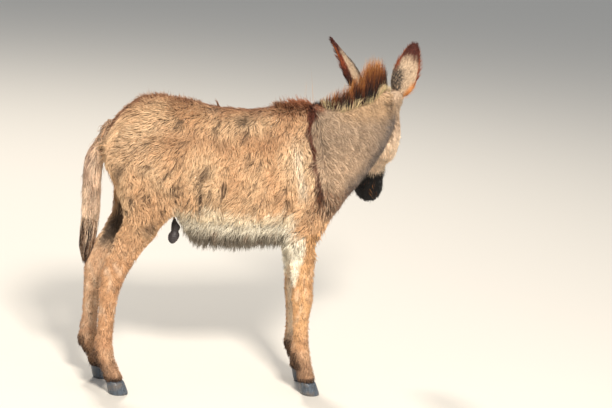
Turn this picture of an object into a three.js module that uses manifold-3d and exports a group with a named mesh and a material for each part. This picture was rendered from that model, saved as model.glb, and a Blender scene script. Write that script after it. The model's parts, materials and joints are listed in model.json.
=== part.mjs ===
// A young donkey standing still, at life size, in millimetres: X runs forward, Y to its left, Z up.
// Its flesh and coat are one smooth body, built as a distance field from named sweeps and lumps.
// That body is meshed, then parted by thin plane cuts into the pieces a person would name.
import * as THREE from "three";
import { mergeVertices } from "three/addons/utils/BufferGeometryUtils.js";
import Module from "manifold-3d";

const wasm = await Module();
wasm.setup();

// ---------------------------------------------------------------- driving dimensions
const CROUP_HEIGHT = 968; // highest point of the rump, over the coat
const WITHERS_HEIGHT = 954;
const BACK_HEIGHT = 938;
const BELLY_HEIGHT = 497; // tips of the belly hair
const BARREL_HALF_WIDTH = 150;
const FORE_X = 266; // line of the front knees
const FORE_Y = 72;
const HIND_X = -373; // line of the hind cannons
const HIND_Y = 84;
const HEAD_LENGTH = 405; // poll to lips
const EAR_LENGTH = 209;
const HOOF_HEIGHT = 46;
const GAP = 0.3; // left by every cut

const V = (x, y, z) => new THREE.Vector3(x, y, z);
const UP = V(0, 0, 1);
const FORWARD = V(1, 0, 0);

// The head looks to the left of the body, hangs down, and leans a little to its own left.
const POLL = V(560, 250, 962);
const HEAD_YAW = THREE.MathUtils.degToRad(81);
const HEAD_PITCH = THREE.MathUtils.degToRad(62);
const HEAD_LEAN = THREE.MathUtils.degToRad(0);

// ---------------------------------------------------------------- distance fields
// A sweep is a row of elliptical sections. Each station has its centre, the half height a along
// "up", the half width b across it, and "pear", which narrows the upper half of the section.
class Sweep {
  constructor(stations, { normal = null, samples = 60 } = {}) {
    const n = stations.length - 1;
    const centres = new THREE.CatmullRomCurve3(stations.map((s) => s.at), false, "centripetal");
    this.rings = [];
    for (let i = 0; i <= samples; i++) {
      const t = (i / samples) * n;
      const k = Math.min(n - 1, Math.floor(t));
      const mix = (key, flat = 0) => smooth(stations, k, t - k, (s) => s[key] ?? flat);
      const at = centres.getPoint(i / samples);
      const up = V(0, 0, 0).lerpVectors(stations[k].up, stations[k + 1].up, t - k).normalize();
      const along = normal ? normal.clone() : centres.getTangent(i / samples);
      along.addScaledVector(up, -along.dot(up)).normalize();
      const side = V(0, 0, 0).crossVectors(along, up);
      this.rings.push({ at, up, along, side, a: mix("a"), b: mix("b"), pear: mix("pear") });
    }
  }

  // The section through p, found by stepping along the sweep from its nearest centre.
  sectionAt(p) {
    const rings = this.rings;
    const last = rings.length - 1;
    let i = 0;
    let best = Infinity;
    rings.forEach((r, k) => {
      const d = r.at.distanceToSquared(p);
      if (d < best) [best, i] = [d, k];
    });
    let t = i;
    for (let turn = 0; turn < 4; turn++) {
      const r = rings[i];
      const next = rings[Math.min(last, i + 1)];
      const before = rings[Math.max(0, i - 1)];
      const step = (next.at.clone().sub(before.at).dot(r.along)) / (next === r || before === r ? 1 : 2);
      t = i + (p.clone().sub(r.at).dot(r.along)) / Math.max(step, 1e-3);
      i = Math.max(0, Math.min(last, Math.round(t)));
    }
    return { t, last };
  }

  distance(p) {
    const { t, last } = this.sectionAt(p);
    const inside = Math.max(0, Math.min(last, t));
    const k = Math.min(last - 1, Math.floor(inside));
    const w = inside - k;
    const [r, q] = [this.rings[k], this.rings[k + 1]];
    const lerp = (u, v) => u + (v - u) * w;
    const offset = p.clone().sub(V(0, 0, 0).lerpVectors(r.at, q.at, w));
    const height = lerp(offset.dot(r.up), offset.dot(q.up));
    const across = lerp(offset.dot(r.side), offset.dot(q.side));
    const a = Math.max(lerp(r.a, q.a), 1);
    const b = Math.max(lerp(r.b, q.b), 1);
    const squeeze = 1 - lerp(r.pear, q.pear) * Math.max(-1, Math.min(1, height / a));
    const d = ellipse(height, across, a, b * squeeze);
    const beyond = t < 0 ? offset.dot(r.along) : t > last ? offset.dot(q.along) : 0;
    return beyond === 0 ? d : Math.hypot(Math.max(d, 0), beyond);
  }
}

// Catmull-Rom interpolation of one number between stations k and k + 1.
function smooth(stations, k, w, of) {
  const at = (i) => of(stations[Math.max(0, Math.min(stations.length - 1, i))]);
  const [a, b, c, d] = [at(k - 1), at(k), at(k + 1), at(k + 2)];
  return b + 0.5 * w * (c - a + w * (2 * a - 5 * b + 4 * c - d + w * (3 * (b - c) + d - a)));
}

function ellipse(h, s, a, b) {
  const k0 = Math.hypot(h / a, s / b);
  const k1 = Math.hypot(h / (a * a), s / (b * b));
  return k1 < 1e-9 ? -Math.min(a, b) : (k0 * (k0 - 1)) / k1;
}

// An ellipsoid with its own axes: rotation turns the axes of the radii.
function lump(at, radii, rotation = new THREE.Quaternion()) {
  const back = rotation.clone().invert();
  return {
    distance(p) {
      const q = p.clone().sub(at).applyQuaternion(back);
      const k0 = Math.hypot(q.x / radii.x, q.y / radii.y, q.z / radii.z);
      const k1 = Math.hypot(q.x / radii.x ** 2, q.y / radii.y ** 2, q.z / radii.z ** 2);
      return k1 < 1e-9 ? -Math.min(radii.x, radii.y, radii.z) : (k0 * (k0 - 1)) / k1;
    },
  };
}

// Smooth union: shapes within "soft" millimetres of each other flow together.
function flow(parts) {
  return (p) => {
    let d = Infinity;
    for (const [shape, soft] of parts) {
      const e = shape.distance(p);
      if (d === Infinity) d = e;
      else {
        const h = Math.max(soft - Math.abs(d - e), 0) / soft;
        d = Math.min(d, e) - (h * h * soft) / 4;
      }
    }
    return d;
  };
}

// ---------------------------------------------------------------- trunk
// Upright sections across the body: x, top and bottom of the coat, half width, pear.
const trunkStation = (x, top, bottom, b, pear) => ({
  at: V(x, 0, (top + bottom) / 2),
  up: UP,
  a: (top - bottom) / 2,
  b,
  pear,
});
const trunk = new Sweep(
  [
    trunkStation(-402, 846, 742, 44, 0.1),
    trunkStation(-372, 894, 680, 86, 0.14),
    trunkStation(-322, 944, 630, 116, 0.16),
    trunkStation(-255, CROUP_HEIGHT, 606, 132, 0.14),
    trunkStation(-176, CROUP_HEIGHT - 8, 590, 139, 0.13),
    trunkStation(-128, CROUP_HEIGHT - 14, 516, 142, 0.12),
    trunkStation(5, BACK_HEIGHT, BELLY_HEIGHT, BARREL_HALF_WIDTH, 0.14),
    trunkStation(125, BACK_HEIGHT + 4, BELLY_HEIGHT + 6, 142, 0.22),
    trunkStation(212, WITHERS_HEIGHT, 524, 120, 0.34),
    trunkStation(286, WITHERS_HEIGHT - 14, 552, 100, 0.32),
    trunkStation(338, 868, 596, 70, 0.1),
  ],
  { normal: FORWARD },
);

// ---------------------------------------------------------------- legs
// Level sections: height z, centre x, half depth fore and aft, half width.
const legStation = (y) => ([z, x, deep, wide]) => ({ at: V(x, y, z), up: FORWARD, a: deep, b: wide });
const DOWN = V(0, 0, -1);

const FORELEG = {
  blade: [815, FORE_X - 10, 58, 30],
  shoulder: [725, FORE_X + 2, 86, 44],
  shoulderPoint: [650, FORE_X + 6, 84, 48],
  upperArm: [590, FORE_X - 8, 74, 48],
  elbow: [540, FORE_X - 15, 60, 44],
  forearm: [480, FORE_X - 13, 49, 39],
  forearmMid: [415, FORE_X - 9, 42, 34],
  aboveKnee: [356, FORE_X - 3, 37, 31],
  knee: [320, FORE_X, 39, 34],
  belowKnee: [278, FORE_X, 31, 28],
  cannon: [225, FORE_X + 3, 28, 24],
  cannonFoot: [178, FORE_X + 6, 29, 24],
  fetlock: [134, FORE_X + 10, 35, 30],
  pastern: [88, FORE_X + 27, 29, 27],
  coronet: [HOOF_HEIGHT, FORE_X + 38, 32, 30],
};
const HINDLEG = {
  hip: [880, HIND_X + 123, 88, 44],
  haunch: [800, HIND_X + 98, 128, 58],
  thigh: [735, HIND_X + 101, 130, 66],
  buttock: [680, HIND_X + 98, 126, 66],
  stifle: [620, HIND_X + 94, 116, 58],
  thighFoot: [560, HIND_X + 77, 92, 50],
  gaskin: [500, HIND_X + 57, 66, 40],
  gaskinFoot: [450, HIND_X + 35, 53, 34],
  hock: [405, HIND_X + 17, 47, 35],
  hockFoot: [360, HIND_X + 7, 38, 31],
  cannonHead: [310, HIND_X + 2, 31, 28],
  cannon: [250, HIND_X, 29, 26],
  cannonFoot: [190, HIND_X - 2, 29, 26],
  fetlock: [130, HIND_X - 3, 36, 31],
  pastern: [86, HIND_X + 20, 30, 28],
  coronet: [HOOF_HEIGHT, HIND_X + 38, 33, 30],
};
// The upper leg slopes in towards the body's middle, so the shoulders and hips are narrow on top.
const LEAN_IN = { blade: 22, shoulder: 8, hip: 24, haunch: 8, thigh: 2 };
// Its left legs stand a little off the right ones: the front one ahead, the back one behind.
const FORE_STEP = 8;
const HIND_STEP = -30;
const stepAt = (z, y, step) => (y > 0 ? step * Math.min(1, Math.max(0, (700 - z) / 300)) : 0);
// The back of each thigh is drawn in, most on the left leg, which reaches back from the stifle down.
const DRAWN_IN = {
  left: { haunch: 10, thigh: 26, buttock: 38, stifle: 44, thighFoot: 40, gaskin: 22, gaskinFoot: 0 },
  right: { thigh: -6, buttock: 24, stifle: 38, thighFoot: 35, gaskin: 16 },
};
const legSweep = (stations, y, step) =>
  new Sweep(
    Object.entries(stations).map(([name, s]) => {
      const station = legStation(y)(s);
      station.at.y -= Math.sign(y) * (LEAN_IN[name] ?? 0);
      const drawn = DRAWN_IN[y > 0 ? "left" : "right"][name] ?? 0;
      station.at.x += stepAt(s[0], y, step) + drawn / 2;
      station.a -= drawn / 2;
      return station;
    }),
    { normal: DOWN, samples: 80 },
  );
const SIDES = [
  ["left", 1],
  ["right", -1],
];
const legs = SIDES.flatMap(([, s]) => [
  legSweep(FORELEG, s * FORE_Y, FORE_STEP),
  legSweep(HINDLEG, s * HIND_Y, HIND_STEP),
]);

// ---------------------------------------------------------------- neck
// The crest runs from the withers to the poll and the throat line from the chest to the jaw.
const CREST = new THREE.CubicBezierCurve3(
  V(240, 0, 948),
  V(372, 0, 950),
  V(484, 66, 982),
  V(553, 226, 990),
);
const THROAT = new THREE.CubicBezierCurve3(
  V(345, 0, 596),
  V(388, 0, 640),
  V(486, 22, 752),
  V(534, 126, 824),
);
const neckStations = [100, 82, 68, 60, 56].map((b, i, all) => {
  const t = i / (all.length - 1);
  const [crest, throat] = [CREST.getPoint(t), THROAT.getPoint(t)];
  const up = crest.clone().sub(throat);
  return { at: crest.clone().lerp(throat, 0.5), a: up.length() / 2, up: up.normalize(), b, pear: 0.3 };
});
const neck = new Sweep(neckStations);

// ---------------------------------------------------------------- head
// Head axes: "along" from poll to lips, "brow" out of the forehead, "left" out of its left cheek.
const headTurn = new THREE.Quaternion()
  .setFromAxisAngle(UP, HEAD_YAW)
  .multiply(new THREE.Quaternion().setFromAxisAngle(V(0, 1, 0), HEAD_PITCH));
const lean = new THREE.Quaternion().setFromAxisAngle(V(0, 0, 1), HEAD_LEAN);
headTurn.multiply(lean);
// A point of the head: s down the face from the poll, y to its left, d out of the forehead.
const inHead = (s, y, d) => V(s, y, d).applyQuaternion(headTurn).add(POLL);
const HEAD_ALONG = FORWARD.clone().applyQuaternion(headTurn);
const HEAD_BROW = UP.clone().applyQuaternion(headTurn);

// s, brow line, jaw line, half width, pear
const headStation = ([s, top, bottom, b, pear]) => ({
  at: inHead(s * HEAD_LENGTH, 0, (top + bottom) / 2),
  up: HEAD_BROW,
  a: (top - bottom) / 2,
  b,
  pear,
});
const head = new Sweep(
  [
    [-0.02, -8, -104, 42, 0],
    [0.07, 10, -132, 60, -0.05],
    [0.18, 20, -150, 67, -0.12],
    [0.29, 17, -154, 69, -0.16],
    [0.4, 8, -142, 61, -0.1],
    [0.53, 0, -118, 50, 0.0],
    [0.66, -4, -100, 45, 0.08],
    [0.78, -4, -97, 46, 0.05],
    [0.89, -7, -100, 49, 0],
    [0.96, -16, -96, 45, 0],
    [1.0, -32, -84, 32, 0],
  ].map(headStation),
  { normal: HEAD_ALONG },
);
const EYE_S = 0.31 * HEAD_LENGTH;
const EYE_Y = 57; // from the head's middle to the eyeball's centre
const EYE_D = -17; // below the brow line
const EYE_RADIUS = 18.5;
const bothSides = (make) => SIDES.flatMap(([, s]) => make(s));
const headLumps = bothSides((s) => [
  [lump(inHead(136, s * 44, -88), V(66, 23, 46), headTurn), 36], // cheek muscle
  [lump(inHead(EYE_S - 4, s * 54, 4), V(34, 18, 17), headTurn), 18], // bone over the eye
  [lump(inHead(EYE_S + 18, s * 50, -44), V(56, 16, 16), headTurn), 26], // cheek bone
  [lump(inHead(-6, s * 50, -24), V(36, 26, 30), headTurn), 30], // mound at the root of the ear
  [lump(inHead(372, s * 33, -32), V(26, 17, 22), headTurn), 16], // nostril wing
]);
const chin = lump(inHead(374, 0, -92), V(25, 31, 18), headTurn);
const forehead = lump(inHead(70, 0, -6), V(70, 44, 34), headTurn);
// Behind the right ear, on the inside of the turned neck, skin and hair roll up beside the mane.
const rolled = lump(V(526, 119, 969), V(47, 29, 34), new THREE.Quaternion().setFromAxisAngle(UP, -0.24));

// ---------------------------------------------------------------- the whole body
const body = flow([
  [trunk, 1],
  ...legs.map((leg) => [leg, 46]),
  [neck, 60],
  [lump(V(225, 0, 932), V(110, 22, 28)), 30], // withers
  [lump(V(326, 0, 636), V(40, 70, 62)), 40], // breast
]);
const headField = flow([[head, 1], [forehead, 24], ...headLumps, [chin, 14], [neck, 34], [rolled, 22]]);
const neckField = flow([[neck, 1], [trunk, 60], ...legs.map((leg) => [leg, 46]), [head, 34], [rolled, 22]]);

// ---------------------------------------------------------------- meshing
// Surface nets: each cell that the surface crosses has one vertex for each run of inside corners,
// and each crossed edge makes one quad between the four cells round it.
const CORNERS = [0, 1, 2, 3, 4, 5, 6, 7].map((c) => [c & 1, (c >> 1) & 1, c >> 2]);
const EDGES = CORNERS.flatMap((_, a) => [1, 2, 4].filter((bit) => !(a & bit)).map((bit) => [a, a | bit]));
const AXES = [
  [1, 0, 0],
  [0, 1, 0],
  [0, 0, 1],
];
const AROUND = [
  [1, 1],
  [0, 1],
  [0, 0],
  [1, 0],
];

function net(field, low, high, cell, frame = new THREE.Matrix4()) {
  const [nx, ny, nz] = ["x", "y", "z"].map((k) => Math.ceil((high[k] - low[k]) / cell));
  const at = (i, j, k) => V(low.x + i * cell, low.y + j * cell, low.z + k * cell);
  const id = (i, j, k) => (k * (ny + 1) + j) * (nx + 1) + i;
  const value = new Float32Array((nx + 1) * (ny + 1) * (nz + 1));
  for (let k = 0; k <= nz; k++)
    for (let j = 0; j <= ny; j++)
      for (let i = 0; i <= nx; i++) {
        const edge = i * j * k === 0 || i === nx || j === ny || k === nz;
        const d = field(at(i, j, k).applyMatrix4(frame));
        value[id(i, j, k)] = edge ? Math.max(d, cell / 2) : d;
      }
  const vertexOf = new Map();
  const points = [];
  for (let k = 0; k < nz; k++)
    for (let j = 0; j < ny; j++)
      for (let i = 0; i < nx; i++) {
        const held = CORNERS.map(([a, b, c]) => value[id(i + a, j + b, k + c)]);
        const run = held.map((d, c) => (d < 0 ? c : -1));
        for (let turn = 0; turn < 4; turn++)
          for (const [a, b] of EDGES)
            if (run[a] >= 0 && run[b] >= 0) run[a] = run[b] = Math.min(run[a], run[b]);
        for (const name of new Set(run.filter((r) => r >= 0))) {
          const crossed = EDGES.filter(
            ([a, b]) => run[a] !== run[b] && (run[a] === name || run[b] === name),
          );
          if (!crossed.length) continue;
          const sum = V(0, 0, 0);
          for (const [a, b] of crossed) {
            const [p, q] = [a, b].map((c) => at(i + CORNERS[c][0], j + CORNERS[c][1], k + CORNERS[c][2]));
            sum.add(p.lerp(q, held[a] / (held[a] - held[b])));
          }
          run.forEach((r, c) => r === name && vertexOf.set(id(i, j, k) * 8 + c, points.length));
          points.push(sum.divideScalar(crossed.length).applyMatrix4(frame));
        }
      }
  const index = [];
  // The four cells round an edge, each with the corner at which it holds the edge's inside end.
  const quad = (cells, end, turned) => {
    const found = cells.map(([i, j, k]) => {
      const corner = end[0] - i + 2 * (end[1] - j) + 4 * (end[2] - k);
      return vertexOf.get(id(i, j, k) * 8 + corner);
    });
    const [p, q, r, s] = turned ? found.reverse() : found;
    const short = points[p].distanceTo(points[r]) < points[q].distanceTo(points[s]);
    index.push(...(short ? [p, q, r, p, r, s] : [q, r, s, q, s, p]));
  };
  for (let k = 0; k < nz; k++)
    for (let j = 0; j < ny; j++)
      for (let i = 0; i < nx; i++)
        AXES.forEach((axis, n) => {
          const here = [i, j, k];
          if (here.some((c, m) => !axis[m] && c === 0)) return;
          const [u, v] = [AXES[(n + 1) % 3], AXES[(n + 2) % 3]];
          const there = here.map((c, m) => c + axis[m]);
          const inside = value[id(...here)] < 0;
          if (inside === value[id(...there)] < 0) return;
          const cells = AROUND.map(([a, b]) => here.map((c, m) => c - a * u[m] - b * v[m]));
          quad(cells, inside ? here : there, !inside);
        });
  return geometryOf(points, index);
}

function geometryOf(points, index) {
  const geometry = new THREE.BufferGeometry().setFromPoints(points);
  geometry.setIndex(index);
  return geometry;
}

// A closed tube through rings of points, its two ends filled by fans.
function loft(rings) {
  const n = rings[0].length;
  const points = rings.flat();
  const index = [];
  for (let r = 0; r + 1 < rings.length; r++)
    for (let i = 0; i < n; i++) {
      const [a, b] = [r * n + i, r * n + ((i + 1) % n)];
      index.push(a, b, b + n, a, b + n, a + n);
    }
  const cap = (ring, turned) => {
    const centre = points.length;
    const start = ring * n;
    points.push(rings[ring].reduce((s, p) => s.add(p), V(0, 0, 0)).divideScalar(n));
    for (let i = 0; i < n; i++) {
      const [a, b] = [start + i, start + ((i + 1) % n)];
      index.push(...(turned ? [a, centre, b] : [a, b, centre]));
    }
  };
  cap(0, true);
  cap(rings.length - 1, false);
  return geometryOf(points, index);
}

// A ring of points round a section of a sweep.
const ringOf = ({ at, up, side, a, b }, sides) =>
  Array.from({ length: sides }, (_, i) => {
    const angle = (2 * Math.PI * i) / sides;
    return at.clone().addScaledVector(up, a * Math.cos(angle)).addScaledVector(side, b * Math.sin(angle));
  });

// ---------------------------------------------------------------- solids
function solid(geometry) {
  const plain = geometry.clone();
  for (const name of ["normal", "uv"]) plain.deleteAttribute(name);
  const merged = mergeVertices(plain, 1e-4);
  const vertProperties = new Float32Array(merged.attributes.position.array);
  const made = (triVerts) => new wasm.Manifold(new wasm.Mesh({ numProp: 3, vertProperties, triVerts }));
  const faces = new Uint32Array(merged.index.array);
  const first = made(faces);
  return first.volume() < 0 ? made(faces.reverse()) : first;
}

// Everything within 3 m on the side of a plane that its normal points to, "gap" away from it.
function halfSpace(point, normal, gap = GAP / 2) {
  const size = 3000;
  const box = new THREE.BoxGeometry(size, size, size).translate(0, 0, size / 2 + gap);
  box.applyQuaternion(new THREE.Quaternion().setFromUnitVectors(UP, normal.clone().normalize()));
  return solid(box.translate(point.x, point.y, point.z));
}
const cutAway = (from, point, normal) => from.subtract(halfSpace(point, normal, -GAP / 2));

const largest = (shape) =>
  shape.decompose().reduce((best, piece) => (piece.volume() > best.volume() ? piece : best));

// ---------------------------------------------------------------- materials
const finish = (color, roughness) => new THREE.MeshStandardMaterial({ color, roughness, metalness: 0 });
const woolly = finish(0xb48a68, 0.95);
const greyCoat = finish(0xa08b78, 0.9);
const darkHair = finish(0x4a2c20, 0.9);
const legCoat = finish(0xb98f6c, 0.92);
const horn = finish(0x3f4248, 0.45);
const wetEye = finish(0x1a110c, 0.1);
const darkSkin = finish(0x3a3436, 0.6);

const donkey = new THREE.Group();
function add(name, shape, material, parent = donkey) {
  const { numProp, numVert, vertProperties, triVerts } = shape.getMesh();
  const points = Array.from({ length: numVert }, (_, i) =>
    V(...vertProperties.subarray(i * numProp, i * numProp + 3)),
  );
  const geometry = geometryOf(points, Array.from(triVerts));
  geometry.computeBoundingBox();
  const centre = geometry.boundingBox.getCenter(V(0, 0, 0));
  geometry.translate(-centre.x, -centre.y, -centre.z);
  geometry.computeVertexNormals();
  const mesh = new THREE.Mesh(geometry, material);
  mesh.name = name;
  mesh.position.copy(centre);
  parent.add(mesh);
}

// ---------------------------------------------------------------- trunk, thighs and upper arms
const TRUNK_CELL = 37;
const whole = largest(
  solid(net(body, V(-470, -232, 430), V(470, 232, 1030), TRUNK_CELL)),
);

const NECK_CUT = { point: V(290, 0, 810), normal: V(0.98, 0, 0.2).normalize() };
const FOREARM_CUT = 478;
const GASKIN_CUT = 530;
// Each leg parts from the trunk along a plane that rises outwards through the armpit or the groin.
const legCut = (x, y, z, [ahead, outwards], s) => ({
  point: V(x, s * y, z),
  normal: V(ahead, s * outwards, -1).normalize(),
});
const foreCut = (s) => legCut(FORE_X, 26, 510, [0.45, 0.55], s);
const hindCut = (s) => legCut(HIND_X + 108, 40, 628, [-0.9, 1.05], s);

const halfOf = (s, gap) => halfSpace(V(0, 0, 0), V(0, s, 0), gap);

let trunkSolid = cutAway(whole, NECK_CUT.point, NECK_CUT.normal);
const thighs = [];
for (const [side, s] of SIDES) {
  const parted = [
    ["upper_arm", foreCut(s), FOREARM_CUT],
    ["thigh", hindCut(s), GASKIN_CUT],
  ];
  for (const [name, { point, normal }, foot] of parted) {
    const limb = whole.intersect(halfOf(s, GAP / 2)).intersect(halfSpace(point, normal));
    trunkSolid = trunkSolid.subtract(halfSpace(point, normal, -GAP / 2).intersect(halfOf(s, -GAP / 2)));
    const cut = largest(cutAway(limb, V(0, 0, foot), DOWN));
    if (name === "thigh") thighs.push(cut);
    add(`${name}_${side}`, cut, woolly);
  }
}
add("trunk", largest(trunkSolid), woolly);

// ---------------------------------------------------------------- lower legs and hooves
const LEG_SIDES = 10;
function lowerLeg(sweep, from, to, steps) {
  const span = sweep.rings.filter((r) => r.at.z <= from + 4 && r.at.z >= to - 4);
  const share = (span.length - 1) / (steps - 1);
  const picked = Array.from({ length: steps }, (_, i) => span[Math.round(i * share)]);
  return solid(loft(picked.map((r) => ringOf(r, LEG_SIDES))));
}
const level = (shape, top, bottom) =>
  cutAway(cutAway(shape, V(0, 0, top), UP), V(0, 0, bottom), DOWN);

// The hoof: a wall that widens to the ground and slopes forward, flat below and higher at the heel.
const HOOF_SIDES = 12;
const HEEL_RISE = 5;
function hoof(x, y, deep, wide) {
  const ring = (level, forward, flare) =>
    Array.from({ length: HOOF_SIDES }, (_, i) => {
      const angle = (2 * Math.PI * i) / HOOF_SIDES;
      const toe = Math.cos(angle);
      const heel = Math.max(0, -toe);
      const reach = (deep + flare * 1.2) * toe * (1 - 0.1 * Math.sign(heel));
      const z = level * HOOF_HEIGHT + HEEL_RISE * heel * level;
      return V(x + forward + reach, y + (wide + flare) * Math.sin(angle), z);
    });
  return solid(loft([ring(0, 15, 3), ring(0.3, 10, 2.7), ring(0.8, 2.5, 1), ring(0.94, 1, -1)]));
}

for (const [side, s] of SIDES) {
  const cuts = {
    fore: {
      stations: FORELEG,
      y: s * FORE_Y,
      step: FORE_STEP,
      start: FOREARM_CUT,
      segments: { forearm: 360, fore_cannon: 155, fore_pastern: HOOF_HEIGHT },
    },
    hind: {
      stations: HINDLEG,
      y: s * HIND_Y,
      step: HIND_STEP,
      start: GASKIN_CUT,
      segments: { gaskin: 448, hind_cannon: 155, hind_pastern: HOOF_HEIGHT },
    },
  };
  for (const [end, { stations, y, step, start, segments }] of Object.entries(cuts)) {
    const shaft = lowerLeg(legSweep(stations, y, step), start + 12, 36, end === "fore" ? 13 : 16);
    let top = start;
    for (const [name, bottom] of Object.entries(segments)) {
      add(`${name}_${side}`, largest(level(shaft, top, bottom)), legCoat);
      top = bottom;
    }
    const [, x, deep, wide] = stations.coronet;
    const foot = hoof(x + (y > 0 ? step : 0), y, deep - 2, wide - 2);
    add(`${end}_hoof_${side}`, cutAway(foot, V(0, 0, HOOF_HEIGHT), UP), horn);
  }
}

// ---------------------------------------------------------------- neck and head
const HEAD_CUT = { point: inHead(18, 0, -70), normal: V(0.5, 0.86, -0.12).normalize() };
const NECK_CELL = 32;
const neckNet = largest(
  solid(net(neckField, V(240, -150, 540), V(690, 325, 1040), NECK_CELL)),
);
const neckSolid = cutAway(neckNet, HEAD_CUT.point, HEAD_CUT.normal).intersect(
  halfSpace(NECK_CUT.point, NECK_CUT.normal),
);
add("neck", largest(neckSolid), greyCoat);

const HEAD_CELL = 16.5;
const headFrame = new THREE.Matrix4().compose(POLL, headTurn, V(1, 1, 1));
const headNet = largest(
  solid(
    net(headField, V(-123.75, -107.25, -214.5), V(470.25, 107.25, 82.5), HEAD_CELL, headFrame),
  ),
);
let headSolid = headNet.intersect(halfSpace(HEAD_CUT.point, HEAD_CUT.normal));
for (const [side, s] of SIDES) {
  const at = inHead(EYE_S, s * EYE_Y, EYE_D);
  const ball = (radius) => {
    const sphere = new THREE.SphereGeometry(radius, 12, 8).applyQuaternion(headTurn);
    return solid(sphere.translate(at.x, at.y, at.z));
  };
  headSolid = headSolid.subtract(ball(EYE_RADIUS + 2 * GAP));
  add(`eye_${side}`, ball(EYE_RADIUS), wetEye);
}
add("head", largest(headSolid), greyCoat);

// ---------------------------------------------------------------- ears, mane, tail and sheath
// What stands on the body is cut by the body itself, grown a little every way to leave the gap.
const GROW = 0.45;
const GROWTH = [FORWARD, V(0, 1, 0), UP].flatMap((axis) => [axis, axis.clone().negate()]);
const grown = (shape) => GROWTH.map((d) => shape.translate([d.x * GROW, d.y * GROW, d.z * GROW]));
const beds = [trunkSolid, neckSolid, headSolid, ...thighs].flatMap(grown);
const bed = (shape) => largest(beds.reduce((rest, one) => rest.subtract(one), shape));

// An ear is a leaf rolled into a cup: half width and depth of the cup from root to tip.
const EAR = [
  [-0.08, 12, 13, 9],
  [0.03, 14, 16, 8],
  [0.1, 21, 22, 7],
  [0.15, 34, 26, 6],
  [0.3, 42, 27, 5],
  [0.46, 46, 24, 5],
  [0.62, 41, 16, 5],
  [0.77, 33, 11, 5],
  [0.9, 22, 8, 5],
  [0.97, 13, 6, 4],
  [1, 7, 5, 4],
];
// root and rise place it; "back" is the way the closed side faces at the root, and twist turns it
// towards the tip; EAR_BEND curls the tip forward.
const EAR_BEND = 10;
const EAR_TWISTED = 0.85; // share of its length at which the twist is complete
function ear({ root, rise, back, twist }) {
  const along = rise.clone().normalize();
  const steps = 6;
  const rings = EAR.map(([t, half, cup, thick]) => {
    const out = back.clone().addScaledVector(along, -back.dot(along)).normalize();
    out.applyAxisAngle(along, twist * THREE.MathUtils.smoothstep(t, 0, EAR_TWISTED));
    const across = V(0, 0, 0).crossVectors(along, out);
    const centre = root.clone().addScaledVector(along, t * EAR_LENGTH).addScaledVector(out, -EAR_BEND * t * t);
    const arc = (u, w, depth) =>
      centre.clone().addScaledVector(across, w * u).addScaledVector(out, depth);
    const outer = [];
    const inner = [];
    for (let i = 0; i <= steps; i++) {
      const u = -1 + (2 * i) / steps;
      const bow = cup * (1 - u * u);
      outer.push(arc(u, half, bow));
      inner.unshift(arc(u * (1 - 1 / steps / 3), half - 1.5, bow - thick));
    }
    return [...outer, ...inner];
  });
  return solid(loft(rings));
}
const EARS = {
  left: { root: inHead(-16, 76, -14), rise: V(-0.53, 0.06, 0.87), back: V(0.6, -0.78, 0.2), twist: 0.62 },
  right: { root: inHead(12, -52, -20), rise: V(0.24, 0.04, 0.97), back: V(-0.3, -0.95, 0), twist: 0 },
};
for (const [side, shape] of Object.entries(EARS)) add(`ear_${side}`, bed(ear(shape)), greyCoat);

// The mane stands up along the crest from the withers to between the ears, where the forelock
// begins. Each row is a share of the way, then the height, the width at the root and at the top.
const HAIR = [
  [0.0, 22, 30, 8],
  [0.1, 50, 34, 9],
  [0.17, 64, 34, 9],
  [0.235, 76, 36, 10],
  [0.3, 88, 36, 11],
  [0.385, 118, 38, 12],
  [0.435, 132, 40, 13],
  [0.49, 120, 40, 13],
  [0.54, 84, 38, 12],
  [0.6, 40, 34, 10],
  [0.72, 22, 32, 9],
  [0.84, 18, 28, 8],
  [1.0, 12, 24, 7],
];
const HAIR_SINK = 14; // how far its root reaches into the crest, to be cut to the crest's shape
const FORELOCK_FROM = 0.6;
const hairLine = new THREE.CatmullRomCurve3([
  ...neckStations.map(({ at, a, up }) => at.clone().addScaledVector(up, a - HAIR_SINK - 4)),
  inHead(-6, 0, 2),
  inHead(34, 0, 8),
  inHead(74, 0, 6),
]);
const HAIR_UP = V(0.05, 0, 1);
const HAIR_STEPS = 18;
const between = (rows, t) => {
  const k = Math.max(1, rows.findIndex((row) => row[0] >= t));
  const w = (t - rows[k - 1][0]) / (rows[k][0] - rows[k - 1][0]);
  return rows[k].slice(1).map((v, i) => rows[k - 1][i + 1] + (v - rows[k - 1][i + 1]) * w);
};
const hairRings = Array.from({ length: HAIR_STEPS + 1 }, (_, step) => {
  const t = step / HAIR_STEPS;
  const along = hairLine.getTangent(t);
  const up = HAIR_UP.clone().addScaledVector(along, -HAIR_UP.dot(along)).normalize();
  const side = V(0, 0, 0).crossVectors(along, up);
  const [height, root, top] = between(HAIR, t);
  const half = [
    [-HAIR_SINK, root / 2],
    [height * 0.45, root * 0.42],
    [height * 0.85, top * 0.8],
    [height, top * 0.25],
  ];
  const outline = [...half, ...half.toReversed().map(([h, w]) => [h, -w])];
  return outline.map(([h, w]) => hairLine.getPoint(t).addScaledVector(up, h).addScaledVector(side, w));
});
const hair = bed(solid(loft(hairRings)));
const parting = { point: hairLine.getPoint(FORELOCK_FROM), normal: hairLine.getTangent(FORELOCK_FROM) };
add("mane", largest(cutAway(hair, parting.point, parting.normal)), darkHair);
add("forelock", largest(hair.intersect(halfSpace(parting.point, parting.normal))), darkHair);

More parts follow.
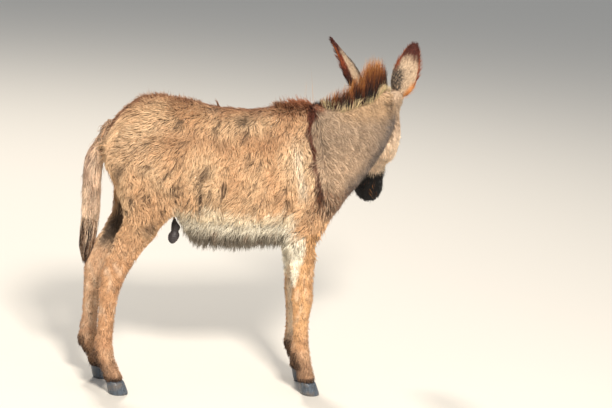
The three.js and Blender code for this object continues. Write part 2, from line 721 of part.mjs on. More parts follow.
// The tail hangs behind the buttocks: its stalk is woolly, its end a switch of dark hair.
const tailStation = ([x, z, deep, wide]) => ({ at: V(x, 0, z), up: FORWARD, a: deep, b: wide });
const TAIL = [
  [-362, 878, 24, 22],
  [-386, 850, 25, 25],
  [-406, 812, 28, 28],
  [-430, 766, 31, 31],
  [-436, 690, 32, 33],
  [-433, 600, 31, 33],
  [-434, 540, 31, 33],
  [-438, 490, 29, 30],
  [-442, 440, 20, 21],
  [-444, 402, 6, 7],
].map(tailStation);
const SWITCH_TOP = 540;
const tailSweep = new Sweep(TAIL, { samples: 45 });
const tail = solid(loft(tailSweep.rings.filter((_, i) => i % 3 === 0).map((r) => ringOf(r, 12))));
add("tail", bed(cutAway(tail, V(0, 0, SWITCH_TOP), DOWN)), woolly);
add("tail_switch", cutAway(tail, V(0, 0, SWITCH_TOP), UP), darkHair);

const sheathLine = new Sweep(
  [
    [-146, 590, 17, 15],
    [-152, 550, 19, 17],
    [-157, 528, 15, 14],
    [-160, 508, 19, 17],
    [-163, 490, 15, 14],
    [-164, 480, 6, 6],
  ].map(tailStation),
  { samples: 14 },
);
add("sheath", bed(solid(loft(sheathLine.rings.map((r) => ringOf(r, 12))))), darkSkin);

// The origin is the middle of the box round the donkey, on the ground.
const box = new THREE.Box3().setFromObject(donkey);
const middle = box.getCenter(V(0, 0, 0)).setZ(box.min.z);
for (const piece of donkey.children) piece.position.sub(middle);

export default donkey;
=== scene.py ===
import json
import math

import bmesh
import bpy
import numpy as np
from mathutils import Matrix, Vector
from mathutils.bvhtree import BVHTree
from mathutils.kdtree import KDTree

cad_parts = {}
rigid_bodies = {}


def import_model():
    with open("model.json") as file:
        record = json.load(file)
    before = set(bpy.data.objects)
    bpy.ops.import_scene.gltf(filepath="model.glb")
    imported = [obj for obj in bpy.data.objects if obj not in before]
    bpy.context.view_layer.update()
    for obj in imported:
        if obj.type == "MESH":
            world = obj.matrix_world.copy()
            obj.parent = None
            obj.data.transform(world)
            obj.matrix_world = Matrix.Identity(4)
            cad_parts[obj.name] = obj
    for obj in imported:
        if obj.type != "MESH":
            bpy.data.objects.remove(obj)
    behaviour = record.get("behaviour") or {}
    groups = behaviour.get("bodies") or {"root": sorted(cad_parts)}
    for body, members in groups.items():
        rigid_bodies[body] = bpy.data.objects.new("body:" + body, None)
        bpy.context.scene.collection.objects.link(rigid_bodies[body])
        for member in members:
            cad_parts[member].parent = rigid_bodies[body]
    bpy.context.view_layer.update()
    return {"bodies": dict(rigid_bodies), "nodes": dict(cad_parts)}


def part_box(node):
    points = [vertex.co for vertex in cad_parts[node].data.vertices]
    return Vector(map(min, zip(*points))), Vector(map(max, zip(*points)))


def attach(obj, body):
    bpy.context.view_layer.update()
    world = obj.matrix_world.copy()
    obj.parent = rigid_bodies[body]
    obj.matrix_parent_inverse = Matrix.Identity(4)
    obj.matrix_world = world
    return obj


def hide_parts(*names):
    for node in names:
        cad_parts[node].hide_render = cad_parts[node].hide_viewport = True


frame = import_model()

# The donkey is a still, life-size model of a young jack in its shaggy winter coat. It stands on four
# small hooves, looks away over its left shoulder, and is finished from the hide outwards.
MM = 0.001
SIDES = {"left": 1, "right": -1}


# ------------------------------------------------------------------------------------- camera
# A long lens on a low stand, a little behind the donkey's right side and a little above its back.
# The head of the stand is tipped a few degrees, so the ground falls away to the front.
CAMERA_AZIMUTH = math.radians(14)
CAMERA_ELEVATION = math.radians(12)
CAMERA_ROLL = math.radians(5)
CAMERA_DISTANCE = 6.0
CAMERA_LENS_MM = 108


def box_middle(node):
    low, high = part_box(node)
    return np.array((low + high) / 2)


MIDLINE = box_middle("trunk")[1]  # the plane of the spine
aim = Vector((0.1622, MIDLINE, 0.6259))
outward = Vector((
    -math.sin(CAMERA_AZIMUTH) * math.cos(CAMERA_ELEVATION),
    -math.cos(CAMERA_AZIMUTH) * math.cos(CAMERA_ELEVATION),
    math.sin(CAMERA_ELEVATION),
))
camera = bpy.data.objects.new("camera", bpy.data.cameras.new("camera"))
camera.data.lens = CAMERA_LENS_MM
camera.data.clip_end = 200
level = outward.to_track_quat("Z", "Y").to_matrix()
camera.matrix_world = (
    Matrix.Translation(aim + outward * CAMERA_DISTANCE)
    @ (level @ Matrix.Rotation(CAMERA_ROLL, 3, "Z")).to_4x4()
)
bpy.context.scene.collection.objects.link(camera)
bpy.context.scene.camera = camera
bpy.context.scene.view_settings.view_transform = "Standard"


# ------------------------------------------------------------------------------------- room
# A plain, pale matt floor, one large softbox beside the camera, a weaker one behind the donkey, and a
# white room that fills the shade.
FLOOR_SIZE = 140.0
FLOOR_GREY = "#CFC9BF"
ROOM_WHITE = "#E6EDF6"
ROOM_STRENGTH = 0.52
SOFTBOX_SIZE = 1.1
SOFTBOX_DISTANCE = 7.0
SOFTBOX_WATTS = 780
SOFTBOX_WARMTH = "#FFF8EE"


def linear(hex_colour):
    """An sRGB hex colour as linear red, green and blue."""
    parts = [int(hex_colour[i:i + 2], 16) / 255 for i in (1, 3, 5)]
    return np.array([c / 12.92 if c <= 0.04045 else ((c + 0.055) / 1.055) ** 2.4 for c in parts])


def node(tree, kind, links=(), **settings):
    """Adds a shader node. A setting named after an input fills it, and links joins outputs to inputs."""
    made = tree.nodes.new(kind)
    for key, value in settings.items():
        if hasattr(made, key):
            setattr(made, key, value)
        else:
            made.inputs[key.replace("_", " ")].default_value = value
    for output, socket in links:
        tree.links.new(output, made.inputs[socket])
    return made


def material(name, roughness, **constants):
    """A new material with a Principled shader, whose whole-surface values are set on its own sockets."""
    made = bpy.data.materials.new(name)
    made.use_nodes = True
    shader = made.node_tree.nodes["Principled BSDF"]
    shader.inputs["Roughness"].default_value = roughness
    for key, value in constants.items():
        shader.inputs[key.replace("_", " ")].default_value = value
    return made, made.node_tree, shader


def tinted(hex_colour):
    return (*linear(hex_colour), 1.0)


# Painted screed: matt, with a very faint cloudiness.
screed, tree, shader = material("painted_screed", 0.9)
cloud = node(tree, "ShaderNodeTexNoise", Scale=1.5, Detail=2.0)
tone = node(tree, "ShaderNodeMix", [(cloud.outputs["Fac"], 0)], data_type="RGBA")
tone.inputs[6].default_value = tinted(FLOOR_GREY)
tone.inputs[7].default_value = tinted("#D4CEC4")
tree.links.new(tone.outputs[2], shader.inputs["Base Color"])

slab = bpy.data.meshes.new("floor")
half = FLOOR_SIZE / 2
corners = [(-half, -half, 0), (half, -half, 0), (half, half, 0), (-half, half, 0)]
slab.from_pydata(corners, [], [(0, 1, 2, 3)])
floor = bpy.data.objects.new("floor", slab)
slab.materials.append(screed)
bpy.context.scene.collection.objects.link(floor)

world = bpy.data.worlds.new("white_room")
world.use_nodes = True
world.node_tree.nodes["Background"].inputs["Color"].default_value = tinted(ROOM_WHITE)
world.node_tree.nodes["Background"].inputs["Strength"].default_value = ROOM_STRENGTH
bpy.context.scene.world = world

SOFTBOXES = {  # azimuth and elevation in degrees, as the camera's, then the share of the power
    "key": (-2, 36, 1.0),
    "far_side": (195, 48, 0.45),
}
for name, (azimuth, elevation, share) in SOFTBOXES.items():
    lamp = bpy.data.lights.new(name, "AREA")
    lamp.size = SOFTBOX_SIZE
    lamp.energy = SOFTBOX_WATTS * share
    lamp.color = linear(SOFTBOX_WARMTH)
    a, e = math.radians(azimuth), math.radians(elevation)
    away = Vector((math.sin(a) * math.cos(e), -math.cos(a) * math.cos(e), math.sin(e)))
    faced = away.to_track_quat("Z", "Y").to_matrix().to_4x4()
    stand = bpy.data.objects.new(name, lamp)
    stand.matrix_world = Matrix.Translation(aim + away * SOFTBOX_DISTANCE) @ faced
    bpy.context.scene.collection.objects.link(stand)


# ------------------------------------------------------------------------------------- hide
# The tanned skin is one piece, drawn over the body so that no seam shows. It lies under the outline
# by the depth of the hair that covers it, and is thin and folded round the eyes, nostrils and lips.
LEG_PARTS = {
    "fore": ("upper_arm", "forearm", "fore_cannon", "fore_pastern"),
    "hind": ("thigh", "gaskin", "hind_cannon", "hind_pastern"),
}
LEG_NODES = [f"{part}_{side}" for parts in LEG_PARTS.values() for part in parts for side in SIDES]
FLESH = ["trunk", "neck", "head", *LEG_NODES]
SWELL = 0.4 * MM  # closes the joints between neighbours
HIDE_CELL = 6.5 * MM
EAR_CELL = 2.8 * MM
ROUNDS = 40
EAR_ROOT = {"left": (-0.016, 0.076, -0.014), "right": (0.012, -0.052, -0.020)}  # in the head's axes
EASE = {"trunk": 0.43, "thigh": 0.43, "neck": 0.38, "head": 0.22, "upper": 0.3, "gaskin": 0.16}
LEG_EASE = 0.09


def joined(names, swell):
    """The named solids in one bmesh, each grown a little."""
    together = bmesh.new()
    for name in names:
        one = bmesh.new()
        one.from_mesh(frame["nodes"][name].data)
        bmesh.ops.remove_doubles(one, verts=one.verts, dist=0.01 * MM)
        one.normal_update()
        for v in one.verts:
            v.co += v.normal * swell
        passing = bpy.data.meshes.new("passing")
        one.to_mesh(passing)
        together.from_mesh(passing)
        bpy.data.meshes.remove(passing)
        one.free()
    return together


def drawn_over(names, cell, swell=SWELL):
    """One closed surface over the named solids, in cells of that size."""
    mesh = bpy.data.meshes.new("solids")
    joined(names, swell).to_mesh(mesh)
    form = bpy.data.objects.new("solids", mesh)
    bpy.context.scene.collection.objects.link(form)
    cells = form.modifiers.new("cells", "REMESH")
    cells.mode = "VOXEL"
    cells.voxel_size = cell
    bpy.context.view_layer.update()
    made = bmesh.new()
    evaluated = form.evaluated_get(bpy.context.evaluated_depsgraph_get())
    made.from_mesh(evaluated.to_mesh())
    evaluated.to_mesh_clear()
    bpy.data.objects.remove(form)
    return made


def array_of(items, width, kind=float):
    return np.array(items, kind).reshape(-1, width)


def solid_tree(*names):
    """A tree of the named solids' faces, and the number in names of the solid each face is of."""
    spots, faces, owner = [], [], []
    for number, name in enumerate(names):
        mesh = frame["nodes"][name].data
        base = len(spots)
        spots += [v.co.copy() for v in mesh.vertices]
        faces += [[base + i for i in p.vertices] for p in mesh.polygons]
        owner += [number] * len(mesh.polygons)
    return BVHTree.FromPolygons(spots, faces), owner


class Surface:
    """Points, faces and edges of a mesh as arrays, with its normals and what is known at each point."""

    def __init__(self, mesh):
        mesh.verts.index_update()
        self.co = array_of([v.co for v in mesh.verts], 3)
        self.edges = array_of([[v.index for v in e.verts] for e in mesh.edges], 2, int)
        self.faces = [[v.index for v in f.verts] for f in mesh.faces]
        self.tris = array_of(
            [[f[0], f[i], f[i + 1]] for f in self.faces for i in range(1, len(f) - 1)], 3, int
        )
        self.known = {}

    def neighbours_mean(self, values):
        values = np.asarray(values, float)
        flat = values.reshape(len(self.co), -1)
        total = np.zeros_like(flat)
        a, b = self.edges.T
        for k in range(flat.shape[1]):
            total[:, k] = np.bincount(a, flat[b, k], len(flat)) + np.bincount(b, flat[a, k], len(flat))
        count = np.bincount(self.edges.ravel(), minlength=len(flat))
        return (total / count[:, None]).reshape(values.shape)

    def eased(self, values, rounds, share=0.5):
        for _ in range(rounds):
            mean = self.neighbours_mean(values)
            values = values + (mean - values) * (share if np.isscalar(share) else share[:, None])
        return values

    def normals(self):
        a, b, c = (self.co[self.tris[:, k]] for k in range(3))
        across = np.cross(b - a, c - a)
        total = np.zeros_like(self.co)
        for k in range(3):
            for axis in range(3):
                total[:, axis] += np.bincount(self.tris[:, k], across[:, axis], len(self.co))
        return unit(total)


def unit(vectors):
    return vectors / np.maximum(np.linalg.norm(vectors, axis=-1, keepdims=True), 1e-9)


def dots(these, those):
    return np.einsum("nk,nk->n", these, those)


def distance(points, spot):
    return np.linalg.norm(points - spot, axis=1)


def slope(low, high, x):
    """0 below low, 1 above high and smooth between. With low above high it falls instead."""
    t = np.clip((np.asarray(x, float) - low) / (high - low), 0, 1)
    return t * t * (3 - 2 * t)


# The head's own axes: down the face from the poll to the lips, out of its left cheek, and out of its
# brow. Its place comes from the two eyeballs.
HEAD_YAW = math.radians(81)
HEAD_PITCH = math.radians(62)
HEAD_LENGTH = 0.405
EYE_FROM_POLL = 0.31 * HEAD_LENGTH
EYE_UNDER_BROW = 0.017
DOWN_FACE = np.array([
    math.cos(HEAD_PITCH) * math.cos(HEAD_YAW),
    math.cos(HEAD_PITCH) * math.sin(HEAD_YAW),
    -math.sin(HEAD_PITCH),
])
TO_LEFT = np.array([-math.sin(HEAD_YAW), math.cos(HEAD_YAW), 0])
OUT_OF_BROW = np.cross(DOWN_FACE, TO_LEFT)
eye_centre = {side: box_middle(f"eye_{side}") for side in SIDES}
POLL = (eye_centre["left"] + eye_centre["right"]) / 2
POLL = POLL - DOWN_FACE * EYE_FROM_POLL + OUT_OF_BROW * EYE_UNDER_BROW
HEAD_AXES = np.array([DOWN_FACE, TO_LEFT, OUT_OF_BROW])


def in_head(points):
    """World points in the head's axes: down the face, to its left and out of the brow."""
    return (np.asarray(points) - POLL) @ HEAD_AXES.T


def from_head(points):
    return np.asarray(points) @ HEAD_AXES + POLL


body_mesh = drawn_over(FLESH, HIDE_CELL)
# The face is drawn in cells half that size, and the eyelids and the muzzle in cells a quarter of it.
FACE_FROM, FACE_REACH, FACE_BACK = 0.02, 0.25, -0.19
LIDS_REACH, MUZZLE_FROM = 0.036, 0.322
face_middle_at = Vector(from_head([0.2, 0, -0.06]))


def halved(mesh, chosen):
    """Halves the cells between the chosen corners."""
    edges = [e for e in mesh.edges if e.verts[0] in chosen and e.verts[1] in chosen]
    bmesh.ops.subdivide_edges(mesh, edges=edges, cuts=1, use_grid_fill=True)


fine = set()
for v in body_mesh.verts:
    s, y, d = in_head(v.co)
    if s > FACE_FROM and (v.co - face_middle_at).length < FACE_REACH and d > FACE_BACK:
        fine.add(v)
halved(body_mesh, fine)
finest = set()
for v in body_mesh.verts:
    from_eye = min(np.linalg.norm(np.array(v.co) - centre) for centre in eye_centre.values())
    if from_eye < LIDS_REACH or (in_head(v.co)[0] > MUZZLE_FROM and v in fine):
        finest.add(v)
halved(body_mesh, finest)
hide = Surface(body_mesh)
body_mesh.free()

flesh_tree, flesh_owner = solid_tree(*FLESH)
belongs = np.array([flesh_owner[flesh_tree.find_nearest(Vector(p))[2]] for p in hide.co])
part_of = np.array([name.removesuffix("_left").removesuffix("_right") for name in FLESH])[belongs]
ease = np.array([EASE.get(name.split("_")[0], LEG_EASE) for name in FLESH])[belongs]
for root in EAR_ROOT.values():  # the mounds that carry the ears stay firm
    ease *= 0.25 + 0.75 * slope(0.045, 0.085, distance(hide.co, from_head(root)))
WHORL = from_head((-0.066, 0.009, -0.108))  # a roll of skin behind the right ear, beside the mane
ease *= 0.25 + 0.75 * slope(0.035, 0.065, distance(hide.co, WHORL))
before = hide.co
foot = before[:, 2] < 0.05
hide.co = hide.eased(before, ROUNDS, hide.eased(ease[:, None], 6)[:, 0])
# Easing draws round forms in, so what they lost is given back, spread evenly.
ways = hide.normals()
lost = dots(before - hide.co, ways)
hide.co = hide.co + ways * hide.eased(lost, 24)[:, None]
hide.co[foot, 2] = before[foot, 2]

# How the winter coat lies on each part, in millimetres: how deep it is, how long a lock is, and half a
# lock's width. The belly's hair is the longest, the face's and the shanks' the shortest.
COAT_MM = {
    "trunk": (13, 44, 1.4),
    "thigh": (12, 38, 1.4),
    "upper_arm": (8, 24, 1.3),
    "gaskin": (6.5, 22, 1.25),
    "forearm": (4.2, 13, 1.05),
    "fore_cannon": (3.0, 8.5, 1.0),
    "hind_cannon": (3.2, 9.5, 1.0),
    "fore_pastern": (3.6, 11, 1.1),
    "hind_pastern": (3.6, 11, 1.1),
    "neck": (6, 14, 0.88),
    "head": (3, 9, 0.8),
}
BELLY_DEPTH_MM, BELLY_LENGTH_MM = 17, 22  # what the belly adds
BLEND_ROUNDS = 30  # carries one part's coat about 20 mm into the next


def zone(*parts):
    return np.isin(part_of, parts).astype(float)


def blended(values, rounds=BLEND_ROUNDS):
    return hide.eased(np.asarray(values, float), rounds)


out = hide.normals()
x, y, z = hide.co.T
off_spine = y - MIDLINE
belly = slope(0.60, 0.55, z) * slope(0.17, 0.10, x) * slope(-0.30, -0.24, x) * zone("trunk")
coat_mm = np.array([COAT_MM[part] for part in part_of], float)
coat_mm[:, 0] += BELLY_DEPTH_MM * belly
coat_mm[:, 1] += BELLY_LENGTH_MM * belly
s_face, y_face, d_face = in_head(hide.co).T
coat_mm[:, 1] += 9 * zone("head") * slope(0.08, 0.18, s_face) * slope(0.29, 0.26, s_face)
coat_mm = blended(coat_mm)
for centre in eye_centre.values():  # the lids carry the shortest hair of all
    coat_mm[:, :2] *= (0.28 + 0.72 * slope(0.020, 0.050, distance(hide.co, centre)))[:, None]
hanging = blended(0.85 * slope(0.58, 0.53, z) * zone("trunk"), 12)

# The lie of the hair: back and down over the ribs, straight back over the rump to the tail, down and
# a little forward over the thighs, down the legs, and down the face.
BACK_AND_DOWN = np.array([-0.36, 0, -1.0])
TO_THE_TAIL = np.array([-1.0, 0, -0.38])
DOWN_FORWARD = np.array([0.30, 0, -1.0])
STRAIGHT_DOWN = np.array([0, 0, -1.0])
NECK_LIE = np.array([0.55, 0, -1.0])
HEAD_LIE = DOWN_FACE - 0.25 * OUT_OF_BROW


def toward(start, end, share):
    return start + (np.asarray(end) - start) * np.asarray(share)[:, None]


lie = toward(BACK_AND_DOWN, TO_THE_TAIL, slope(-0.18, -0.36, x) * slope(0.70, 0.86, z))
lie[:, 0] -= 0.7 * slope(0.6, 0.95, out[:, 2])
lie[:, 1] += 0.25 * np.sign(off_spine) * slope(0.6, 0.95, out[:, 2])
lie = toward(lie, DOWN_FORWARD, zone("thigh", "gaskin") * slope(-0.50, -0.38, x))
lie = toward(
    lie, STRAIGHT_DOWN,
    zone("forearm", "fore_cannon", "fore_pastern", "hind_cannon", "hind_pastern", "upper_arm")
)
lie = toward(lie, NECK_LIE, zone("neck"))
lie = toward(lie, HEAD_LIE, zone("head"))
whorl_far = distance(hide.co, WHORL)
lie = toward(lie, unit(np.cross(out, hide.co - WHORL)), 0.85 * slope(0.062, 0.035, whorl_far))
lie = unit(blended(unit(lie), 14))


# ------------------------------------------------------------------------------------- markings
# A grey-dun young jack still in its first ginger winter coat: cream belly, grey neck, black muzzle,
# and the dark cross of all donkeys, one stripe along the spine and one down each shoulder.
GINGER, PALE_GINGER = "#D5A77C", "#E8C49B"
BACK_BROWN, CROSS_RUST, SOOT_BROWN = "#986A4A", "#5A2816", "#2A1812"
CREAM, GREY_CREAM = "#FAF0DA", "#C4B8A2"
NECK_GREY, NECK_PALE, THROAT_SHADE = "#B49A80", "#DABA9A", "#66605F"
LEG_TAN, SHANK_PINK = "#C2946C", "#AC7E5E"
WITHERS_RUST = "#9A6040"
FACE_TAN, FACE_CREAM, MUZZLE_BLACK = "#BC9A80", "#F0D6B8", "#070504"

# The shoulder stripe's line, as height and distance forward, from the withers to the point of the shoulder.
STRIPE_HEIGHT = (0.60, 0.668, 0.763, 0.825, 0.885, 0.95)
STRIPE_FORWARD = (0.200, 0.184, 0.156, 0.146, 0.138, 0.150)


def ripple(points, size, seed, waves=7):
    """Smooth random values of about -1 to 1, whose hills are size apart."""
    draw = np.random.default_rng(seed)
    total = np.zeros(len(points))
    for _ in range(waves):
        heading = unit(draw.normal(size=3)) * 2 * math.pi / size * draw.uniform(0.6, 1.5)
        total += np.sin(points @ heading + draw.uniform(0, 2 * math.pi))
    return total / math.sqrt(waves)


def painted(base, hex_colour, share):
    return toward(base, linear(hex_colour), np.clip(share, 0, 1))


def layered(base, layers):
    """Paints colours over a base in turn, each with its share at every point."""
    for hex_colour, share in layers:
        base = painted(base, hex_colour, share)
    return base


# Where the matted wool has split, the parting is painted dark as its shade: the height and distance forward
# of each parting, how long and wide it is in millimetres, how far it leans forward in degrees, and the side
# of the body.
PARTINGS = [
    (0.893, -0.290, 22, 8, 75, -1), (0.748, -0.201, 34, 13, 8, -1), (0.664, -0.214, 80, 7, -6, -1),
    (0.673, -0.186, 44, 6, -6, -1), (0.701, -0.147, 24, 5, 0, -1), (0.691, -0.295, 50, 9, 80, -1),
    (0.556, -0.366, 44, 15, 60, -1), (0.731, -0.475, 46, 17, 25, -1), (0.755, -0.395, 36, 5, 80, -1),
    (0.835, -0.278, 30, 4, 85, -1), (0.892, -0.160, 20, 8, 20, -1), (0.906, -0.074, 24, 14, 40, -1),
]
rolls = np.random.default_rng(81)
for count, side in ((40, -1), (26, 1)):
    for _ in range(count):
        PARTINGS.append((
            rolls.uniform(0.60, 0.90), rolls.uniform(-0.44, 0.08),
            rolls.uniform(12, 42), rolls.uniform(1.6, 4.2), rolls.normal(-4, 18), side,
        ))


def partings(points):
    """How far each point lies in a parting of the wool, 0 to 1."""
    found = np.zeros(len(points))
    frayed = 1 + 0.35 * ripple(points, 0.012, 83)
    for height, forward, long_mm, wide_mm, lean, side in PARTINGS:
        dx, dz = points[:, 0] - forward, points[:, 2] - height
        lean = math.radians(lean)
        along = (dz * math.cos(lean) + dx * math.sin(lean)) / (long_mm * MM * 0.6)
        aside = (dx * math.cos(lean) - dz * math.sin(lean)) / (wide_mm * MM * 0.75)
        near = np.exp(-along**4 - aside**2 * frayed) * ((points[:, 1] - MIDLINE) * side > 0.03)
        found = np.maximum(found, near * min(1, 10 / wide_mm))
    return found


def from_shoulder_stripe(points):
    """How far ahead of the middle of the shoulder stripe each point is."""
    line = np.interp(points[:, 2], STRIPE_HEIGHT, STRIPE_FORWARD)
    return points[:, 0] + 0.0025 * ripple(points, 0.05, 3) - line


def marked(points, base):
    """A base colour with the sharp-edged marks over it: the cross, and the partings of the wool, painted
    dark as their shade.
    """
    forward, height = points[:, 0], points[:, 2]
    off = np.abs(points[:, 1] - MIDLINE)
    ragged = ripple(points, 0.010, 4)
    half = 0.0042 + 0.005 * slope(0.74, 0.66, height) + 0.012 * slope(0.895, 0.94, height)
    stripe = slope(half + 0.003, half - 0.002, np.abs(from_shoulder_stripe(points)) + 0.0016 * ragged)
    stripe *= slope(0.63, 0.69, height) * slope(0.012, 0.03, off)
    base = layered(base, [
        (CROSS_RUST, 0.92 * stripe),
        (SOOT_BROWN, 0.7 * stripe * slope(0.76, 0.68, height)),
    ])
    # where the stripe ends, over the breast, the wool is curled and rusty, and the hollows between the curls
    # are painted dark as shade
    curls = slope(0.585, 0.61, height) * slope(0.715, 0.67, height)
    curls = curls * slope(0.115, 0.15, forward) * slope(0.37, 0.33, forward)
    base = painted(base, "#96603C", 0.5 * curls * slope(-0.4, 1.0, ripple(points, 0.016, 91)))
    dark_end = slope(0.055, 0.020, np.hypot(forward - 0.205, (height - 0.650) * 0.8))
    base = painted(
        base, SOOT_BROWN, curls * (0.34 + 0.6 * dark_end) * slope(0.0, 1.1, ripple(points, 0.012, 92))
    )
    spine = slope(0.022, 0.010, off + 0.002 * ragged) * slope(0.80, 0.86, height)
    spine = spine * slope(0.22, 0.19, forward)
    withers = slope(0.045, 0.02, off) * slope(0.88, 0.92, height)
    withers = withers * slope(0.03, 0.10, forward) * slope(0.20, 0.17, forward)
    base = layered(base, [
        (CROSS_RUST, 0.45 * spine),
        (WITHERS_RUST, 0.72 * withers),
    ])
    # painted shade in the partings of the wool
    return painted(base, SOOT_BROWN, 0.9 * partings(points))


wander = ripple(hide.co, 0.05, 3) * 0.006
ragged = ripple(hide.co, 0.022, 4)
from_stripe = from_shoulder_stripe(hide.co)
side_facing = -np.sign(off_spine) * out[:, 1]  # above 0 on the side of a leg that faces the other leg

colour = layered(linear(GINGER), [
    (PALE_GINGER, 0.5 + 0.45 * ripple(hide.co, 0.16, 5)),
    (BACK_BROWN, 0.6 * slope(0.075, 0.02, np.abs(off_spine) + wander) * slope(0.80, 0.90, z)),
    (BACK_BROWN, 0.30 * slope(0.15, 0.9, ripple(hide.co, 0.11, 6)) * slope(0.60, 0.75, z)),
    ("#F0D2AC", 0.45 * slope(0.02, 0.10, x) * slope(0.92, 0.86, z) * slope(0.68, 0.76, z)),
    ("#F0D2AC", 0.4 * slope(-0.26, -0.40, x) * slope(0.93, 0.86, z) * slope(0.70, 0.78, z)),
])
belly_edge = z + 0.010 * ragged + 0.012 * ripple(hide.co, 0.10, 7) - 0.020 * slope(0.06, -0.12, x)
cream_belly = slope(0.640, 0.600, belly_edge) * slope(0.135, 0.09, x) * slope(-0.315, -0.262, x)
colour = layered(colour, [
    (CREAM, cream_belly * zone("trunk", "thigh")),
    ("#E8C898", 0.5 * slope(0.57, 0.61, z) * cream_belly),
    (GREY_CREAM, (0.45 + 0.4 * ragged) * slope(0.59, 0.54, z) * cream_belly),
    # painted shade: the belly's downward-facing underside is darkened
    ("#5E5244", 0.8 * slope(-0.10, -0.75, out[:, 2]) * slope(0.565, 0.53, z) * zone("trunk")),
    (
        CREAM,
        0.45 * slope(0.026, 0.004, np.abs(from_stripe + 0.050)) * slope(0.66, 0.71, z)
        * slope(0.87, 0.80, z)
    ),
])

colour = layered(colour, [
    (LEG_TAN, zone("upper_arm", "forearm", "gaskin", "fore_cannon", "hind_cannon")),
    ("#E4B47C", 0.5 * zone("upper_arm", "forearm", "fore_cannon")),
    ("#F0D2AC", 0.35 * zone("gaskin") * slope(0.42, 0.50, z)),
])
blotches = zone("forearm", "gaskin", "fore_cannon", "hind_cannon", "fore_pastern", "hind_pastern")
colour = layered(colour, [
    (BACK_BROWN, 0.38 * slope(0.1, 1.2, ripple(hide.co * [1, 1, 0.4], 0.020, 9)) * blotches),
    (CREAM, 0.20 * slope(0.2, 1.2, ripple(hide.co * [1, 1, 0.4], 0.018, 10)) * blotches),
    (SHANK_PINK, 0.6 * slope(0.26, 0.14, z)),
    ("#7C5C46", 0.5 * slope(0.135, 0.10, z)),
])
for joint_height in (0.335, 0.375):  # knees and hocks are darker in front
    colour = painted(
        colour, BACK_BROWN,
        0.35 * slope(0.04, 0.0, np.abs(z - joint_height)) * slope(0.0, 0.8, out[:, 0]) * blotches
    )
colour = painted(
    colour, SOOT_BROWN, 0.45 * slope(-0.1, -0.8, out[:, 0]) * slope(0.18, 0.14, z) * slope(0.05, 0.08, z)
)
inside_leg = slope(0.1, 0.7, side_facing) * slope(0.62, 0.56, z) * slope(0.12, 0.2, z)
colour = layered(colour, [
    (CREAM, inside_leg * (0.40 * slope(-0.1, 0.1, x) + 0.12)),
    ("#E0AE80", 0.5 * slope(0.1, 0.5, -side_facing) * zone("gaskin") * slope(0.40, 0.48, z)),
])
# Between the thighs, from the dock down, painted shade: the inner rear faces of the thighs are darkened
# where one thigh shadows the other.
between = slope(0.25, 0.7, side_facing) * slope(-0.33, -0.39, x) * slope(0.84, 0.80, z)
between *= np.maximum(slope(0.58, 0.63, z), slope(0.45, 0.49, z) * slope(-0.505, -0.485, x))
colour = painted(colour, "#2E241F", 0.85 * between * zone("thigh", "gaskin", "trunk"))
patch_width = np.interp(z, (0.36, 0.42, 0.47, 0.51, 0.545), (0.006, 0.012, 0.022, 0.030, 0.026))
on_patch = slope(0.005, -0.005, np.abs(x - 0.120) - patch_width + 0.003 * ragged)
on_patch = on_patch * slope(0.36, 0.38, z) * slope(0.56, 0.53, z)
colour = layered(colour, [
    (CREAM, on_patch * zone("forearm", "upper_arm", "trunk")),
    (SOOT_BROWN, 0.75 * slope(0.060, 0.050, z)),
])

ahead = slope(-0.004, 0.012, from_stripe) * zone("trunk", "neck", "head", "upper_arm") * slope(0.59, 0.64, z)
colour = painted(colour, NECK_GREY, ahead)
# painted shade: the throat side of the neck, turned away from the light, and the neck's underside are
# painted dark grey
throat_shade = slope(0.30, 0.85, out[:, 0] - 0.3 * out[:, 2]) * zone("neck") * slope(0.20, 0.30, x)
colour = layered(colour, [
    (THROAT_SHADE, 0.8 * throat_shade),
    (THROAT_SHADE, 0.45 * slope(-0.3, -0.8, out[:, 2]) * zone("neck")),
    (NECK_PALE, 0.75 * zone("neck", "trunk") * ahead * slope(0.86, 0.74, z) * (1 - throat_shade)),
    ("#CFA97E", 0.55 * zone("neck") * slope(0.885, 0.94, z) * slope(0.20, 0.30, x)),
])
on_head = zone("head")
colour = layered(colour, [
    (FACE_TAN, on_head * slope(0.02, 0.10, s_face)),
    (BACK_BROWN, 0.7 * on_head * slope(-0.03, 0.02, d_face) * slope(0.20, 0.10, s_face)),
    (FACE_CREAM, 0.85 * on_head * slope(0.03, 0.12, s_face) * slope(-0.02, -0.09, d_face)),
])
for centre in eye_centre.values():
    colour = painted(colour, FACE_CREAM, 0.9 * slope(0.040, 0.026, distance(hide.co, centre)))
colour = layered(colour, [
    (CREAM, 0.55 * on_head * slope(0.215, 0.245, s_face) * slope(-0.105, -0.06, d_face)),
    (MUZZLE_BLACK, on_head * slope(0.262, 0.288, s_face + 0.005 * ragged - 0.10 * (d_face + 0.05))),
    ("#E2C4AC", 0.8 * slope(0.034, 0.016, whorl_far)),
    # painted shade: a thin dark line stands for the crease under the roll of skin behind the right ear
    (SOOT_BROWN, 0.75 * slope(0.006, 0.001, np.abs(whorl_far - 0.040)) * slope(0.004, 0.02, WHORL[2] - z)),
])

colour = painted(
    colour, BACK_BROWN,
    0.5 * slope(1.0, 1.7, ripple(hide.co * [1, 1, 2.2], 0.055, 82)) * zone("trunk", "thigh")
)
colour = marked(hide.co, hide.eased(colour, 1))

